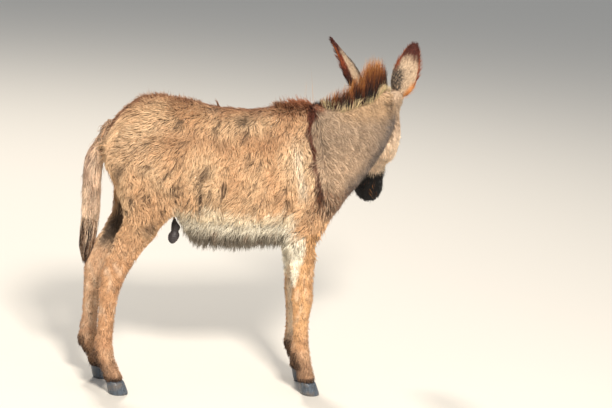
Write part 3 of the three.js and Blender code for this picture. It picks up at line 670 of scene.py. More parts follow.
# ------------------------------------------------------------------------------------- face
# Under the hair the face is thin skin over bone: lids that wrap the eyeball, a fold above each eye,
# comma-shaped nostrils, a lipped mouth and the two rough edges of the cheek bones.
EYE_RADIUS = float((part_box("eye_left")[1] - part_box("eye_left")[0])[2]) / 2
EYE_LOOKS = {
    side: unit(TO_LEFT * sign * 0.93 + OUT_OF_BROW * 0.34 + DOWN_FACE * 0.1)
    for side, sign in SIDES.items()
}
EYE_SINK = 2.0 * MM  # the ball lies this much deeper than the outline's socket
OPENING_LONG, OPENING_HIGH = 18.5 * MM, 12.5 * MM  # half the length and height of the open lids
LID_THICK = 2.6 * MM

depth = coat_mm[:, 0] * MM
hide_outer = hide.co.copy()
hide.co = hide.co - out * depth[:, None]
# Under long wool the locks gather in soft mounds, which is why the surface is given mounds too.
MOUND_HEIGHT = 2.6 * MM
woolly = slope(14, 34, coat_mm[:, 1]) * slope(0.10, 0.2, z)
mounds = 0.6 * ripple(hide.co * [1, 1, 0.55], 0.060, 71) + 0.4 * ripple(hide.co * [1, 1, 0.6], 0.028, 72)
hide.co += out * (mounds * woolly * MOUND_HEIGHT)[:, None]
hide.co[foot, 2] = hide_outer[foot, 2]


def hump(away, width):
    """1 where away is 0, falling smoothly to nearly nothing at twice the width."""
    return np.exp(-((away / width) ** 2))


def eye_axes(side):
    """An eyeball's middle, the way it looks, the way to its front corner and the way to its upper lid."""
    looks = EYE_LOOKS[side]
    to_corner = DOWN_FACE * 0.94 + OUT_OF_BROW * 0.30
    corner = unit(to_corner - looks * np.dot(to_corner, looks))
    lid_up = np.cross(looks, corner)
    return eye_centre[side] - looks * EYE_SINK, looks, corner, lid_up * np.sign(np.dot(lid_up, OUT_OF_BROW))


in_opening = np.zeros(len(hide.co))
for side in SIDES:
    ball, looks, corner, lid_up = eye_axes(side)
    from_ball = hide.co - ball
    along, up, height = from_ball @ corner, from_ball @ lid_up, from_ball @ looks
    upper = up > 0
    open_high = np.where(upper, OPENING_HIGH, OPENING_HIGH * 0.72)
    ring = np.hypot(along / OPENING_LONG, up / open_high)
    beyond = np.hypot(along, up)
    ball_height = np.sqrt(np.maximum(EYE_RADIUS**2 - np.minimum(beyond, 0.9 * EYE_RADIUS)**2, 0))
    lid = ball_height + LID_THICK + 1.6 * MM * hump(ring - 1.12, 0.16)
    lid -= 2.2 * MM * hump(ring - 1.75, 0.22) * np.where(upper, 1.0, 0.6)
    inside = ball_height - 6 * MM
    wanted = np.where(ring < 0.97, inside, lid)
    near = slope(2.7, 1.7, ring) * (height > -0.5 * EYE_RADIUS) * (beyond < 2.6 * EYE_RADIUS)
    hide.co += looks * ((wanted - height) * near)[:, None]
    in_opening = np.maximum(in_opening, (ring < 1.06) * near)
    colour = painted(colour, "#120D0B", 0.9 * slope(1.32, 1.10, ring) * near)

# nostrils: how far down the face and under the brow line, and their size
NOSTRIL_AT = (0.374, -0.036)
NOSTRIL_LONG, NOSTRIL_WIDE, NOSTRIL_DEEP = 15 * MM, 7 * MM, 13 * MM
hide_normals = hide.normals()
s_face, y_face, d_face = in_head(hide.co).T
on_muzzle = on_head * slope(0.30, 0.33, s_face)
in_nostril = np.zeros(len(hide.co))
for side, sign in SIDES.items():
    ds, dd = s_face - NOSTRIL_AT[0], d_face - NOSTRIL_AT[1]
    long_way = 0.82 * ds - 0.57 * dd
    wide_way = 0.57 * ds + 0.82 * dd - 12 * long_way**2
    ring = np.hypot(long_way / NOSTRIL_LONG, wide_way / NOSTRIL_WIDE)
    facing = (y_face * sign > 0.012) * on_muzzle
    pit = slope(1.05, 0.35, ring) * facing
    rim = hump(ring - 1.35, 0.28) * facing
    inward = unit(-TO_LEFT * sign * 0.9 - DOWN_FACE * 0.35 - OUT_OF_BROW * 0.1)
    hide.co += inward * (pit * NOSTRIL_DEEP)[:, None] + hide_normals * (rim * 2.6 * MM)[:, None]
    in_nostril = np.maximum(in_nostril, slope(1.0, 0.6, ring) * facing)

# The mouth runs back from the front of the lips, and the lower lip is a little shorter than the upper.
MOUTH_FROM, MOUTH_DROP = 0.325, -0.071
mouth_line = MOUTH_DROP + 0.10 * (s_face - MOUTH_FROM)
to_mouth = d_face - mouth_line
mouth = on_head * slope(MOUTH_FROM - 0.004, MOUTH_FROM + 0.012, s_face)
groove = hump(to_mouth, 2.6 * MM) * mouth
lips = hump(np.abs(to_mouth) - 8 * MM, 5 * MM) * mouth
hide.co += hide_normals * (lips * 1.8 * MM - groove * 5.0 * MM)[:, None]
cheek_ridge = hump(d_face + 0.048 + 0.10 * (s_face - 0.15), 6 * MM) * on_head
cheek_ridge *= slope(0.14, 0.17, s_face) * slope(0.26, 0.22, s_face)
hide.co += hide_normals * (cheek_ridge * 2.5 * MM)[:, None]
colour = painted(colour, "#0A0808", np.maximum(in_nostril, groove * 0.8))


# ------------------------------------------------------------------------------------- ears
# Each ear is a leaf of gristle rolled into a cup, covered inside and out with the same skin. The cups
# open forward and outward, so their backs show from behind.
EAR_LENGTH = 0.209
# the root in the head's axes, the way it rises, the way its back faces at the root, its twist, the side
# of u near the mane, and how far across the outer rim's rust reaches
EARS = {
    "left": (EAR_ROOT["left"], (-0.53, 0.06, 0.87), (0.60, -0.78, 0.20), 0.62, 1, 0.52),
    "right": (EAR_ROOT["right"], (0.24, 0.04, 0.97), (-0.30, -0.95, 0.0), 0.0, -1, 0.74),
}
EAR_TWISTED = 0.85
EAR_HALF_AT = (0.03, 0.10, 0.15, 0.30, 0.46, 0.62, 0.77, 0.90, 1.0)
EAR_HALF = (0.014, 0.021, 0.034, 0.042, 0.046, 0.041, 0.033, 0.022, 0.010)
EAR_ROOT_REACH = 20 * MM  # how far its root is drawn into the skull
EAR_CREAM, EAR_RIM, EAR_TIP, EAR_SOOT = "#BCA286", "#80381A", "#44180C", "#231E1C"
KNOWN = ("colour", "lie", "mm", "hanging", "bare")

sooty = on_head * slope(0.29, 0.33, s_face)
hide.known = {
    "colour": colour, "lie": lie, "mm": coat_mm, "hanging": hanging,
    "bare": np.maximum(np.maximum(in_nostril, in_opening), sooty * slope(0.385, 0.40, s_face)),
}
part_of = list(part_of)


def added(surface, found, part):
    """Joins another surface to the hide, with what is known at its points."""
    base = len(hide.co)
    hide.co = np.vstack([hide.co, surface.co])
    hide.edges = np.vstack([hide.edges, surface.edges + base])
    hide.tris = np.vstack([hide.tris, surface.tris + base])
    hide.faces += [[i + base for i in face] for face in surface.faces]
    hide.known = {key: np.concatenate([hide.known[key], found[key]]) for key in KNOWN}
    part_of.extend([part] * len(surface.co))


under = BVHTree.FromPolygons(hide.co.tolist(), hide.tris.tolist())


def rooted(points, reach, near_by=34 * MM):
    """Draws the end of an ear or of the dock into the body, so that it grows out of it."""
    moved = points.copy()
    for i, p in enumerate(points.tolist()):
        near, way, _, _ = under.find_nearest(p)
        gap = (Vector(p) - near).dot(way)
        moved[i] -= np.array(way) * (reach * float(slope(near_by, 10 * MM, gap)))
    return moved


for side, (root, rise, back, twist, mane_side, rust_from) in EARS.items():
    ear = Surface(drawn_over([f"ear_{side}"], EAR_CELL, 0))
    ear.co = ear.eased(ear.co, 10, 0.35)
    rise = unit(np.array(rise))
    back = unit(np.array(back) - rise * np.dot(back, rise))
    from_root = ear.co - from_head(root)
    t = from_root @ rise / EAR_LENGTH
    turned = (twist * slope(0, EAR_TWISTED, t))[:, None]
    back = back * np.cos(turned) + np.cross(rise, back) * np.sin(turned)
    across = np.cross(rise, back)
    u = dots(from_root, across) / np.interp(t, EAR_HALF_AT, EAR_HALF) * mane_side
    outer = slope(-0.25, 0.25, dots(ear.normals(), back))
    ear.co = rooted(ear.co, EAR_ROOT_REACH)
    fleck = ripple(ear.co, 0.012, 11)
    rim = slope(0.60, 0.84, u + 0.05 * fleck) * slope(0.42, 0.6, t)
    rim = np.maximum(rim, slope(-rust_from, -rust_from - 0.22, u + 0.05 * fleck) * slope(0.02, 0.12, t))
    speckle = 0.85 + 0.4 * ripple(ear.co, 0.007, 12)
    soot_top = 0.56 if rust_from > 0.6 else 0.76
    paint = layered(linear(EAR_CREAM), [
        (NECK_GREY, 0.6 * slope(0.40, 0.05, t)),
        (EAR_SOOT, 0.35 * slope(0.2, 1.2, ripple(ear.co, 0.006, 13))),
        (
            EAR_SOOT,
            speckle * slope(soot_top, soot_top - 0.2, t - 0.16 * u + 0.03 * fleck)
            * slope(-0.25, 0.25, u + 0.1 * fleck) * np.maximum(outer, rust_from < 0.6)
        ),
        (EAR_RIM, rim),
        ("#D08A4A", 0.85 * slope(0.42, 0.26, t) * slope(-0.45, -0.85, u) * (rust_from > 0.6)),
        (EAR_TIP, slope(0.64, 0.86, t + 0.08 * np.abs(u) + 0.03 * fleck)),
        ("#B8622A", 0.8 * slope(0.82, 1.0, np.abs(u)) * slope(0.5, 0.7, t)),
        ("#2A1008", 0.95 * slope(0.66, 0.25, t) * rim * (rust_from < 0.6)),
    ])
    flow = rise + across * (0.35 * np.sign(u) * mane_side * (1 - outer))[:, None]
    mm = np.tile([1.5, 8.0, 0.85], (len(t), 1))
    lobe = 10 * slope(0.3, 0.1, t) * slope(-0.3, -0.8, u)
    mm[:, 1] += 16 * (1 - outer) * slope(0.95, 0.5, t) + 6 * rim + lobe + 4 * slope(0.85, 0.95, t)
    added(ear, {"colour": paint, "lie": unit(flow), "mm": mm, "hanging": 0 * t, "bare": 0 * t}, "ear")

# The dock of the tail is a tapering stalk of bone and skin inside its hair.
DOCK_CELL = 5 * MM
DOCK_DEPTH = 13 * MM
TAIL_TAN, TAIL_FRONT_SHADE = "#E0C4A8", "#7E5A46"
dock = Surface(drawn_over(["tail"], DOCK_CELL, 0))
dock.co = dock.eased(dock.co, 12, 0.4)
dock_ways = dock.normals()
dock_z = dock.co[:, 2].copy()
dock_top_share = slope(0.80, 0.87, dock_z)
streaks = slope(-0.2, 0.9, ripple(dock.co * [1, 1, 0.05], 0.012, 93))
dock_paint = layered(linear(TAIL_TAN), [
    # painted shade: the front of the dock, which lies in shadow, is darker
    (TAIL_FRONT_SHADE, 0.5 * slope(0.5, 0.95, dock_ways[:, 0]) * slope(0.78, 0.72, dock_z)),
    (GINGER, 0.6 * slope(0.78, 0.86, dock_z)),
    ("#A47C66", 0.55 * streaks),
    ("#6A4642", (0.35 + 0.45 * streaks) * slope(0.0, 0.8, -dock_ways[:, 0]) * slope(0.66, 0.80, dock_z)),
    ("#7A4A36", 0.65 * dock_top_share * slope(0.2, 0.7, dock_ways[:, 2])),
])
dock_lie = toward(np.array([-0.05, 0, -1.0]), [-0.6, 0, -0.85], slope(0.70, 0.80, dock_z))
dock_lie = unit(toward(dock_lie, [-1.0, 0, -0.5], dock_top_share))
dock_mm = np.tile([13.0, 70.0, 1.3], (len(dock.co), 1))
dock_mm[:, 0] -= 6 * dock_top_share
dock.co = rooted(dock.co - dock_ways * DOCK_DEPTH, 22 * MM, 26 * MM)
nothing = np.zeros(len(dock.co))
added(dock, {
    "colour": dock_paint, "lie": dock_lie, "mm": dock_mm, "hanging": nothing, "bare": nothing,
}, "tail")
part_of = np.array(part_of)
hide_normals = hide.normals()

# Skin under long wool is seen only in its partings, so it is painted darker by the length of the wool, as
# their shade.
LONG_WOOL_MM = 30
shade = 1 - 0.5 * slope(10, LONG_WOOL_MM, hide.known["mm"][:, 1])


def piece(name, points, faces, finish, smooth=True):
    """A mesh object of those points and faces."""
    mesh = bpy.data.meshes.new(name)
    mesh.from_pydata(np.asarray(points).tolist(), [], faces)
    if smooth:
        mesh.shade_smooth()
    mesh.materials.append(finish)
    made = bpy.data.objects.new(name, mesh)
    bpy.context.scene.collection.objects.link(made)
    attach(made, BODY)
    return made


def paint_points(mesh, name, colours):
    layer = mesh.color_attributes.new(name, "FLOAT_COLOR", "POINT")
    layer.data.foreach_set(
        "color", np.column_stack([colours, np.ones(len(colours))]).astype(np.float32).ravel()
    )


CLOUDY = dict(From_Min=0.3, From_Max=0.7)  # a noise's values lie mostly between these


def show_markings(tree, shader, strength):
    """Gives the shader the colours painted on the mesh, made lighter or darker by that output."""
    marks = node(tree, "ShaderNodeVertexColor", layer_name="markings")
    dyed = node(
        tree, "ShaderNodeVectorMath", [(marks.outputs["Color"], 0), (strength, "Scale")], operation="SCALE"
    )
    tree.links.new(dyed.outputs[0], shader.inputs["Base Color"])


# Short-haired hide: matt, broken up by the nap of 1 mm hairs, and a little moist where it is bare.
NAP_MM = 1.4
NAP_HEIGHT = 0.5 * MM
hide_finish, tree, shader = material(
    "short_haired_hide", 0.8, Sheen_Weight=0.05, Sheen_Roughness=0.5, Specular_IOR_Level=0.35
)
where = [(node(tree, "ShaderNodeTexCoord").outputs["Object"], "Vector")]
nap = node(tree, "ShaderNodeTexNoise", where, Scale=1 / (NAP_MM * MM), Detail=3.0)
patch = node(tree, "ShaderNodeTexNoise", where, Scale=1 / (14 * MM), Detail=3.0)
light = node(tree, "ShaderNodeMapRange", [(nap.outputs["Fac"], "Value")], **CLOUDY, To_Min=0.72, To_Max=1.2)
cloud = node(
    tree, "ShaderNodeMapRange", [(patch.outputs["Fac"], "Value")], **CLOUDY, To_Min=0.86, To_Max=1.1
)
both = node(
    tree, "ShaderNodeMath", [(light.outputs["Result"], 0), (cloud.outputs["Result"], 1)],
    operation="MULTIPLY"
)
show_markings(tree, shader, both.outputs[0])
moist = node(tree, "ShaderNodeAttribute", attribute_name="bare")
matt = node(tree, "ShaderNodeMapRange", [(moist.outputs["Fac"], "Value")], To_Min=0.82, To_Max=0.42)
tree.links.new(matt.outputs["Result"], shader.inputs["Roughness"])
bump = node(tree, "ShaderNodeBump", [(nap.outputs["Fac"], "Height")], Strength=0.6, Distance=NAP_HEIGHT)
tree.links.new(bump.outputs["Normal"], shader.inputs["Normal"])

BODY = next(iter(frame["bodies"]))
skin = piece("hide", hide.co, hide.faces, hide_finish)
paint_points(skin.data, "markings", hide.known["colour"] * shade[:, None])
bare_layer = skin.data.attributes.new("bare", "FLOAT", "POINT")
bare_layer.data.foreach_set("value", hide.known["bare"].astype(np.float32))
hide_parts(*FLESH, *[f"ear_{side}" for side in SIDES], "tail")


# ------------------------------------------------------------------------------------- coat
# The winter coat stands on the hide in thousands of thin tapered locks. Each lies along the body over
# the next, neighbours cling together at their tips, and a few stand off where the wool is matted.
CLINGING = 14  # locks that share one tip
LOOSE_SHARE = 0.07
ROOT_SHADE, TIP_SHADE = 0.70, 1.05
PATCH = 0.003  # one lock's patch on the coat's map
LOCK_RIDGE = 0.4  # a lock's height for its width
hide_tree = BVHTree.FromPolygons(hide.co.tolist(), hide.tris.tolist())
face_part = part_of[hide.tris[:, 0]]
face_middle = hide.co[hide.tris].mean(1)

# Raw wool and winter hair: matt keratin with a soft sheen, streaked along its strands.
STRAND_MM = 0.9
wool, tree, shader = material(
    "winter_hair", 0.7, Sheen_Weight=0.04, Sheen_Roughness=0.45, IOR=1.55, Specular_IOR_Level=0.22
)
where = [(node(tree, "ShaderNodeTexCoord").outputs["Object"], "Vector")]
strand = node(tree, "ShaderNodeTexNoise", where, Scale=1 / (STRAND_MM * MM), Detail=2.0)
light = node(
    tree, "ShaderNodeMapRange", [(strand.outputs["Fac"], "Value")], **CLOUDY, To_Min=0.86, To_Max=1.12
)
show_markings(tree, shader, light.outputs["Result"])
bump = node(tree, "ShaderNodeBump", [(strand.outputs["Fac"], "Height")], Strength=0.35, Distance=0.3 * MM)
tree.links.new(bump.outputs["Normal"], shader.inputs["Normal"])


def around(points, low, high):
    """Puts each point between these heights over the hide, and gives the way out there."""
    moved, ways = np.empty_like(points), np.empty_like(points)
    for i, p in enumerate(points.tolist()):
        near, way, _, _ = hide_tree.find_nearest(p)
        height = min(max((Vector(p) - near).dot(way), low[i]), high[i])
        moved[i] = near + way * height
        ways[i] = way
    return moved, ways


def lock_faces(stations):
    """Corner numbers of one closed three-sided lock, and each corner's place on its patch."""
    faces, places = [(0, 2, 1)], [((0.5, 0), (0.4, 0), (0.6, 0))]
    rings = stations - 1
    for k in range(rings):
        for side in range(3):
            a, b = 3 * k + side, 3 * k + (side + 1) % 3
            left, right = side / 3, (side + 1) / 3
            low, high = k / rings, (k + 1) / rings
            if k < rings - 1:
                faces.append((a, b, b + 3, a + 3))
                places.append(((left, low), (right, low), (right, high), (left, high)))
            else:
                faces.append((a, b, 3 * rings))
                places.append(((left, low), (right, low), ((left + right) / 2, high)))
    return faces, places


def locks(name, paths, ways, half_width, colours, roots_at, shades=(ROOT_SHADE, TIP_SHADE)):
    """One piece of closed tapering locks along those paths, each as many points from root to tip."""
    count, stations = paths.shape[:2]
    rings = stations - 1
    share = np.linspace(0, 1, stations)
    taper = (0.7 + 0.3 * np.sin(math.pi * np.minimum(share * 1.6, 1)))[:rings] * (1 - share[:rings] ** 2.2)
    run = unit(np.gradient(paths, axis=1))
    across = unit(np.cross(run, ways))
    over = np.cross(across, run)
    wide = half_width[:, None, None] * taper[None, :, None]
    points = np.empty((count, 3 * rings + 1, 3))
    points[:, 0:-1:3] = paths[:, :rings] - across[:, :rings] * wide
    points[:, 1:-1:3] = paths[:, :rings] + across[:, :rings] * wide
    points[:, 2:-1:3] = paths[:, :rings] + over[:, :rings] * wide * 2 * LOCK_RIDGE
    points[:, -1] = paths[:, -1]
    faces, places = lock_faces(stations)
    sizes = np.array([len(face) for face in faces])
    corners = np.concatenate([np.array(face) for face in faces])
    spots = np.array([spot for place in places for spot in place])
    per = points.shape[1]
    mesh = bpy.data.meshes.new(name)
    mesh.vertices.add(count * per)
    mesh.vertices.foreach_set("co", points.astype(np.float32).ravel())
    all_corners = (corners[None, :] + (np.arange(count) * per)[:, None]).astype(np.int32).ravel()
    mesh.loops.add(len(all_corners))
    mesh.loops.foreach_set("vertex_index", all_corners)
    all_sizes = np.tile(sizes, count)
    mesh.polygons.add(len(all_sizes))
    mesh.polygons.foreach_set(
        "loop_start", np.concatenate([[0], np.cumsum(all_sizes)[:-1]]).astype(np.int32)
    )
    mesh.polygons.foreach_set("loop_total", all_sizes.astype(np.int32))
    mesh.update(calc_edges=True)
    mesh.shade_smooth()
    mesh.materials.append(wool)
    flat = mesh.uv_layers.new(name="OFBake")
    patches = roots_at[:, None, :] + (spots[None] - 0.5) * PATCH
    flat.data.foreach_set("uv", patches.astype(np.float32).ravel())
    tone = np.interp(np.repeat(share[:rings], 3), (0, 0.55, 1), (shades[0], 0.96, shades[1]))
    tone = np.append(tone, shades[1])
    # painted highlight: each lock's ridge is made a little lighter
    tone[2:-1:3] *= 1.06  # the ridge
    if colours.ndim == 2:
        dyes = colours[:, None, :]
    else:  # a colour at each station
        dyes = np.concatenate([np.repeat(colours[:, :rings], 3, axis=1), colours[:, rings:]], axis=1)
    paint_points(mesh, "markings", (dyes * tone[None, :, None]).reshape(-1, 3))
    made = bpy.data.objects.new(name, mesh)
    bpy.context.scene.collection.objects.link(made)
    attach(made, BODY)
    return made


BAND_WAYS = {  # the way each kind of part runs
    "leg": np.array([0, 0, -1.0]),
    "trunk": np.array([1.0, 0, 0]),
    "neck": unit(np.array([0.6, 0.3, 0.35])),
    "head": DOWN_FACE,
    "ear": np.array([0, 0, 1.0]),
}


class Unwrap:
    """The hide rolled out flat: how far along a limb, and the angle round it, each in its own band."""

    BINS = 14

    def __init__(self, parts):
        self.bands = []
        for names, axis in parts:
            held = np.isin(part_of, names)
            for side in (SIDES.values() if axis == "leg" else (0,)):
                mine = held & ((hide.co[:, 1] - MIDLINE) * side >= 0)
                way = BAND_WAYS[axis]
                spots = hide.co[mine]
                t = spots @ way
                edges = np.linspace(t.min(), t.max(), self.BINS + 1)
                box = np.clip(np.digitize(t, edges) - 1, 0, self.BINS - 1)
                centres = np.array([spots[box == k].mean(0) for k in range(self.BINS) if (box == k).any()])
                self.bands.append((set(names), side, way, t.min(), t.max(), centres))

    def place(self, points, parts):
        spots = np.full((len(points), 2), 0.5)
        for number, (names, side, way, low, high, centres) in enumerate(self.bands):
            mine = np.isin(parts, list(names)) & ((points[:, 1] - MIDLINE) * side >= 0)
            p = points[mine]
            t = p @ way
            knots = centres @ way
            middle = np.column_stack([np.interp(t, knots, centres[:, k]) for k in range(3)])
            first = unit(np.cross(way, [0.0, 1.0, 0.01]))
            second = np.cross(way, first)
            angle = np.arctan2((p - middle) @ second, (p - middle) @ first) / (2 * math.pi) + 0.5
            spots[mine, 0] = 0.01 + 0.98 * (t - low) / max(high - low, 1e-6)
            spots[mine, 1] = (number + 0.01 + 0.98 * angle) / len(self.bands)
        return spots


def grown(
    name, chosen, per_m2, stations, seed, unwrap, cling=0.5, swirl=0.35, curl=0.0, snap=True, long=1.0,
    wide=1.0, lift=0.12, loose_share=LOOSE_SHARE, uneven=1.0, shades=(ROOT_SHADE, TIP_SHADE), dye=None,
    crossed=False
):
    """Locks all over the chosen faces of the hide, shaped by what the hide knows at their roots."""
    draw = np.random.default_rng(seed)
    tris = hide.tris[chosen]
    a, b, c = (hide.co[tris[:, k]] for k in range(3))
    area = np.linalg.norm(np.cross(b - a, c - a), axis=1) / 2
    wanted = area * per_m2 * 1.0
    tris = np.repeat(tris, np.floor(wanted + draw.random(len(tris))).astype(int), axis=0)
    n = len(tris)
    u, v = np.sqrt(draw.random(n)), draw.random(n)
    shares = np.column_stack([1 - u, u * (1 - v), u * v])

    def here(values):
        return np.einsum("nk,nk...->n...", shares, values[tris])

    root, way = here(hide.co), unit(here(hide_normals))
    depth, length, half = (here(hide.known["mm"][:, k]) * MM for k in range(3))
    hang, dyes, flow = here(hide.known["hanging"]), here(hide.known["colour"]), here(hide.known["lie"])
    along = unit(flow - way * dots(flow, way)[:, None])
    across = np.cross(way, along)
    turn = swirl * ripple(root, 0.085, seed + 1) + 0.35 * swirl * ripple(root, 0.03, seed + 2)
    turn = turn + draw.normal(0, 0.13, n)
    along = along * np.cos(turn)[:, None] + across * np.sin(turn)[:, None]
    across = np.cross(way, along)
    length = length * long * draw.uniform(0.72, 1.2, n)
    share = np.linspace(0, 1, stations)
    level = draw.uniform(0.60, 1.08, n)
    loose = draw.random(n) < loose_share
    down = np.array([0.0, 0.0, -1.0])
    heading = unit(
        along * (1 - hang)[:, None] + down * hang[:, None] + way * (lift * (1 + 2.5 * loose))[:, None]
    )
    paths = root[:, None] + heading[:, None] * (length[:, None] * share)[..., None]
    leaders = draw.choice(n, max(1, n // CLINGING), replace=False)
    near = KDTree(len(leaders))
    for i, leader in enumerate(leaders):
        near.insert(root[leader], i)
    near.balance()
    leader = leaders[[near.find(p)[1] for p in root.tolist()]]
    held = cling * draw.uniform(0.5, 1.3, n) * ~loose
    paths += (paths[leader] - paths) * (held[:, None] * share**1.4)[..., None]
    if curl:
        phase = draw.uniform(0, 2 * math.pi, n)[leader] + draw.normal(0, 0.5, n)
        sway = curl * length * (0.6 + 0.8 * draw.random(n)[leader])
        bend = np.sin(2 * math.pi * 0.85 * share[None] + phase[:, None]) - np.sin(phase)[:, None]
        paths += across[:, None] * (sway[:, None] * bend * share)[..., None]
    rise = depth[:, None] * level[:, None] * np.interp(share, (0, 0.33, 0.7, 1), (0, 0.6, 1.0, 0.85))
    rise = rise * (1 + 0.7 * loose[:, None] * share)
    split = np.stack([partings(paths[:, k]) if crossed else np.zeros(n) for k in range(stations)], axis=1)
    rise = rise * (1 - 0.6 * split)
    ways = np.repeat(way[:, None], stations, axis=1)
    paths[:, 0] -= way * MM
    if snap:
        for k in range(1, stations):
            free = rise[:, k] + hang * length * share[k]
            paths[:, k], ways[:, k] = around(paths[:, k], rise[:, k].tolist(), free.tolist())
    else:
        paths += way[:, None] * rise[..., None]
    patchy = 1 + uneven * (
        0.06 * ripple(root, 0.03, seed + 3) + 0.07 * draw.normal(0, 1, n)
        + 0.07 * draw.normal(0, 1, n)[leader]
    )
    tint = dyes * np.clip(patchy, 0.55, 1.45)[:, None]
    if dye is not None:
        tint = dye(root, tint, draw)
    if crossed:
        tint = np.stack([marked(paths[:, k], tint) for k in range(stations)], axis=1)
    spots = unwrap.place(root, part_of[tris[:, 0]])
    return locks(name, paths, ways, half * wide * draw.uniform(0.7, 1.3, n), tint, spots, shades)


def near_solid(name, points, reach):
    """Which points lie nearer than that to the named solid."""
    tree = solid_tree(name)[0]
    return np.array([tree.find_nearest(Vector(p), reach)[0] is not None for p in points])


SHEATH_CLEAR = 16 * MM
bare_round_sheath = near_solid("sheath", face_middle, SHEATH_CLEAR)
on_trunk = (face_part == "trunk") & ~bare_round_sheath
mx, my, mz = face_middle.T
side_of = my - MIDLINE
RUMP_FROM, SHOULDER_FROM, BELLY_TOP = -0.25, 0.065, 0.565
low_belly = on_trunk & (mz < BELLY_TOP) & (mx < 0.13) & (mx > RUMP_FROM)
on_thigh = np.isin(face_part, ("thigh", "gaskin")) & ~bare_round_sheath
barrel = on_trunk & ~low_belly & (mx >= RUMP_FROM) & (mx < SHOULDER_FROM)
WHOLE_PARTS = ("trunk", "neck", "head", "ear")
trunk_map, neck_map, head_map, ear_map = (Unwrap([([part], part)]) for part in WHOLE_PARTS)
thigh_map = Unwrap([(["thigh", "gaskin"], "leg")])
LONG = dict(stations=4, cling=0.5, swirl=0.34, curl=0.05, crossed=True)
# the faces it grows on, locks a square metre, its map, its seed and what is special
WOOL = {
    "coat_rump": (on_trunk & ~low_belly & (mx < RUMP_FROM), 57_000, trunk_map, 21, {}),
    "coat_ribs_right": (barrel & (side_of < 0), 60_000, trunk_map, 22, {}),
    "coat_ribs_left": (barrel & (side_of >= 0), 50_000, trunk_map, 23, {}),
    "coat_shoulders": (
        on_trunk & ~low_belly & (mx >= SHOULDER_FROM), 58_000, trunk_map, 24, dict(long=0.85),
    ),
    "coat_belly": (low_belly, 76_000, trunk_map, 25, dict(cling=0.6, swirl=0.25, curl=0.08)),
    "coat_thigh_right": (on_thigh & (side_of < 0), 58_000, thigh_map, 26, dict(curl=0.15)),
    "coat_thigh_left": (on_thigh & (side_of >= 0), 52_000, thigh_map, 27, dict(curl=0.15)),
}
for name, (faces, per_m2, unwrap, seed, changes) in WOOL.items():
    grown(name, faces, per_m2, seed=seed, unwrap=unwrap, **{**LONG, **changes})

# Over the head of the tail the croup's hair runs on, longer, to hang down the dock.
tail_high_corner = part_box("tail")[1]
dock_top = np.array([tail_high_corner[0], box_middle("tail")[1], tail_high_corner[2]])
tail_head = on_trunk & (distance(face_middle, dock_top) < 0.085) & (mx < dock_top[0] + 0.03)
grown(
    "coat_tail_head", tail_head, 60_000, 5, seed=48, unwrap=trunk_map, cling=0.4, swirl=0.25, curl=0.04,
    long=2.0, lift=0.05, loose_share=0.03, uneven=2.0, crossed=True
)

# Along the withers, and in a tuft on the back and a cowlick over the croup, the hair stands up.
STANDING_UP = [  # its ends behind and in front, half its width, locks a square metre and their length
    (0.04, 0.20, 0.030, 150_000, 0.62), (-0.154, -0.144, 0.006, 260_000, 0.7),
    (-0.40, -0.20, 0.060, 45_000, 0.38),
]
for number, (back_end, front_end, half_wide, per_m2, long) in enumerate(STANDING_UP):
    ridge = on_trunk & (mx > back_end) & (mx < front_end) & (np.abs(side_of) < half_wide) & (mz > 0.85)
    grown(
        f"coat_crest_{number}", ridge, per_m2, 4, seed=44 + number, unwrap=trunk_map, cling=0.5, swirl=0.5,
        snap=False, long=long, wide=0.7, lift=0.8, crossed=True
    )

SHORT = dict(stations=3, cling=0.3, snap=False)
SHANK_PARTS = LEG_PARTS["hind"][2:]
leg_map = Unwrap([(LEG_PARTS["fore"], "leg"), (SHANK_PARTS, "leg")])
on_legs = np.isin(face_part, LEG_PARTS["fore"] + SHANK_PARTS)
grown(
    "coat_legs", on_legs, 38_000, seed=31, unwrap=leg_map, swirl=0.3, lift=0.13, uneven=2.2,
    shades=(0.74, 1.10), **SHORT
)
grown(
    "coat_neck", face_part == "neck", 54_000, seed=32, unwrap=neck_map, swirl=0.30, lift=0.12,
    loose_share=0.12, uneven=1.8, shades=(0.62, 1.14), crossed=True, **SHORT
)
hairy = hide.known["bare"][hide.tris].max(1) < 0.5
grown(
    "coat_head", (face_part == "head") & hairy, 57_000, seed=33, unwrap=head_map, swirl=0.25, lift=0.16,
    uneven=2.2, shades=(0.74, 1.10), long=1.15, **SHORT
)
grown(
    "coat_ears", face_part == "ear", 72_000, seed=34, unwrap=ear_map, swirl=0.2, lift=0.10,
    shades=(0.9, 1.05), **SHORT
)

# Coarse hair on the chin, a dark fringe where the black of the muzzle begins, and a few whiskers.
def black_dye(roots, tint, draw):
    return 0 * tint + linear(MUZZLE_BLACK)


def chin_dye(roots, tint, draw):
    fair = draw.random(len(roots)) - 0.35 * slope(0.012, 0.03, np.abs(in_head(roots)[:, 1]))
    return layered(linear(MUZZLE_BLACK), [
        ("#4A2A14", slope(0.45, 0.7, fair)),
        ("#A87040", slope(0.84, 0.94, fair)),
    ])


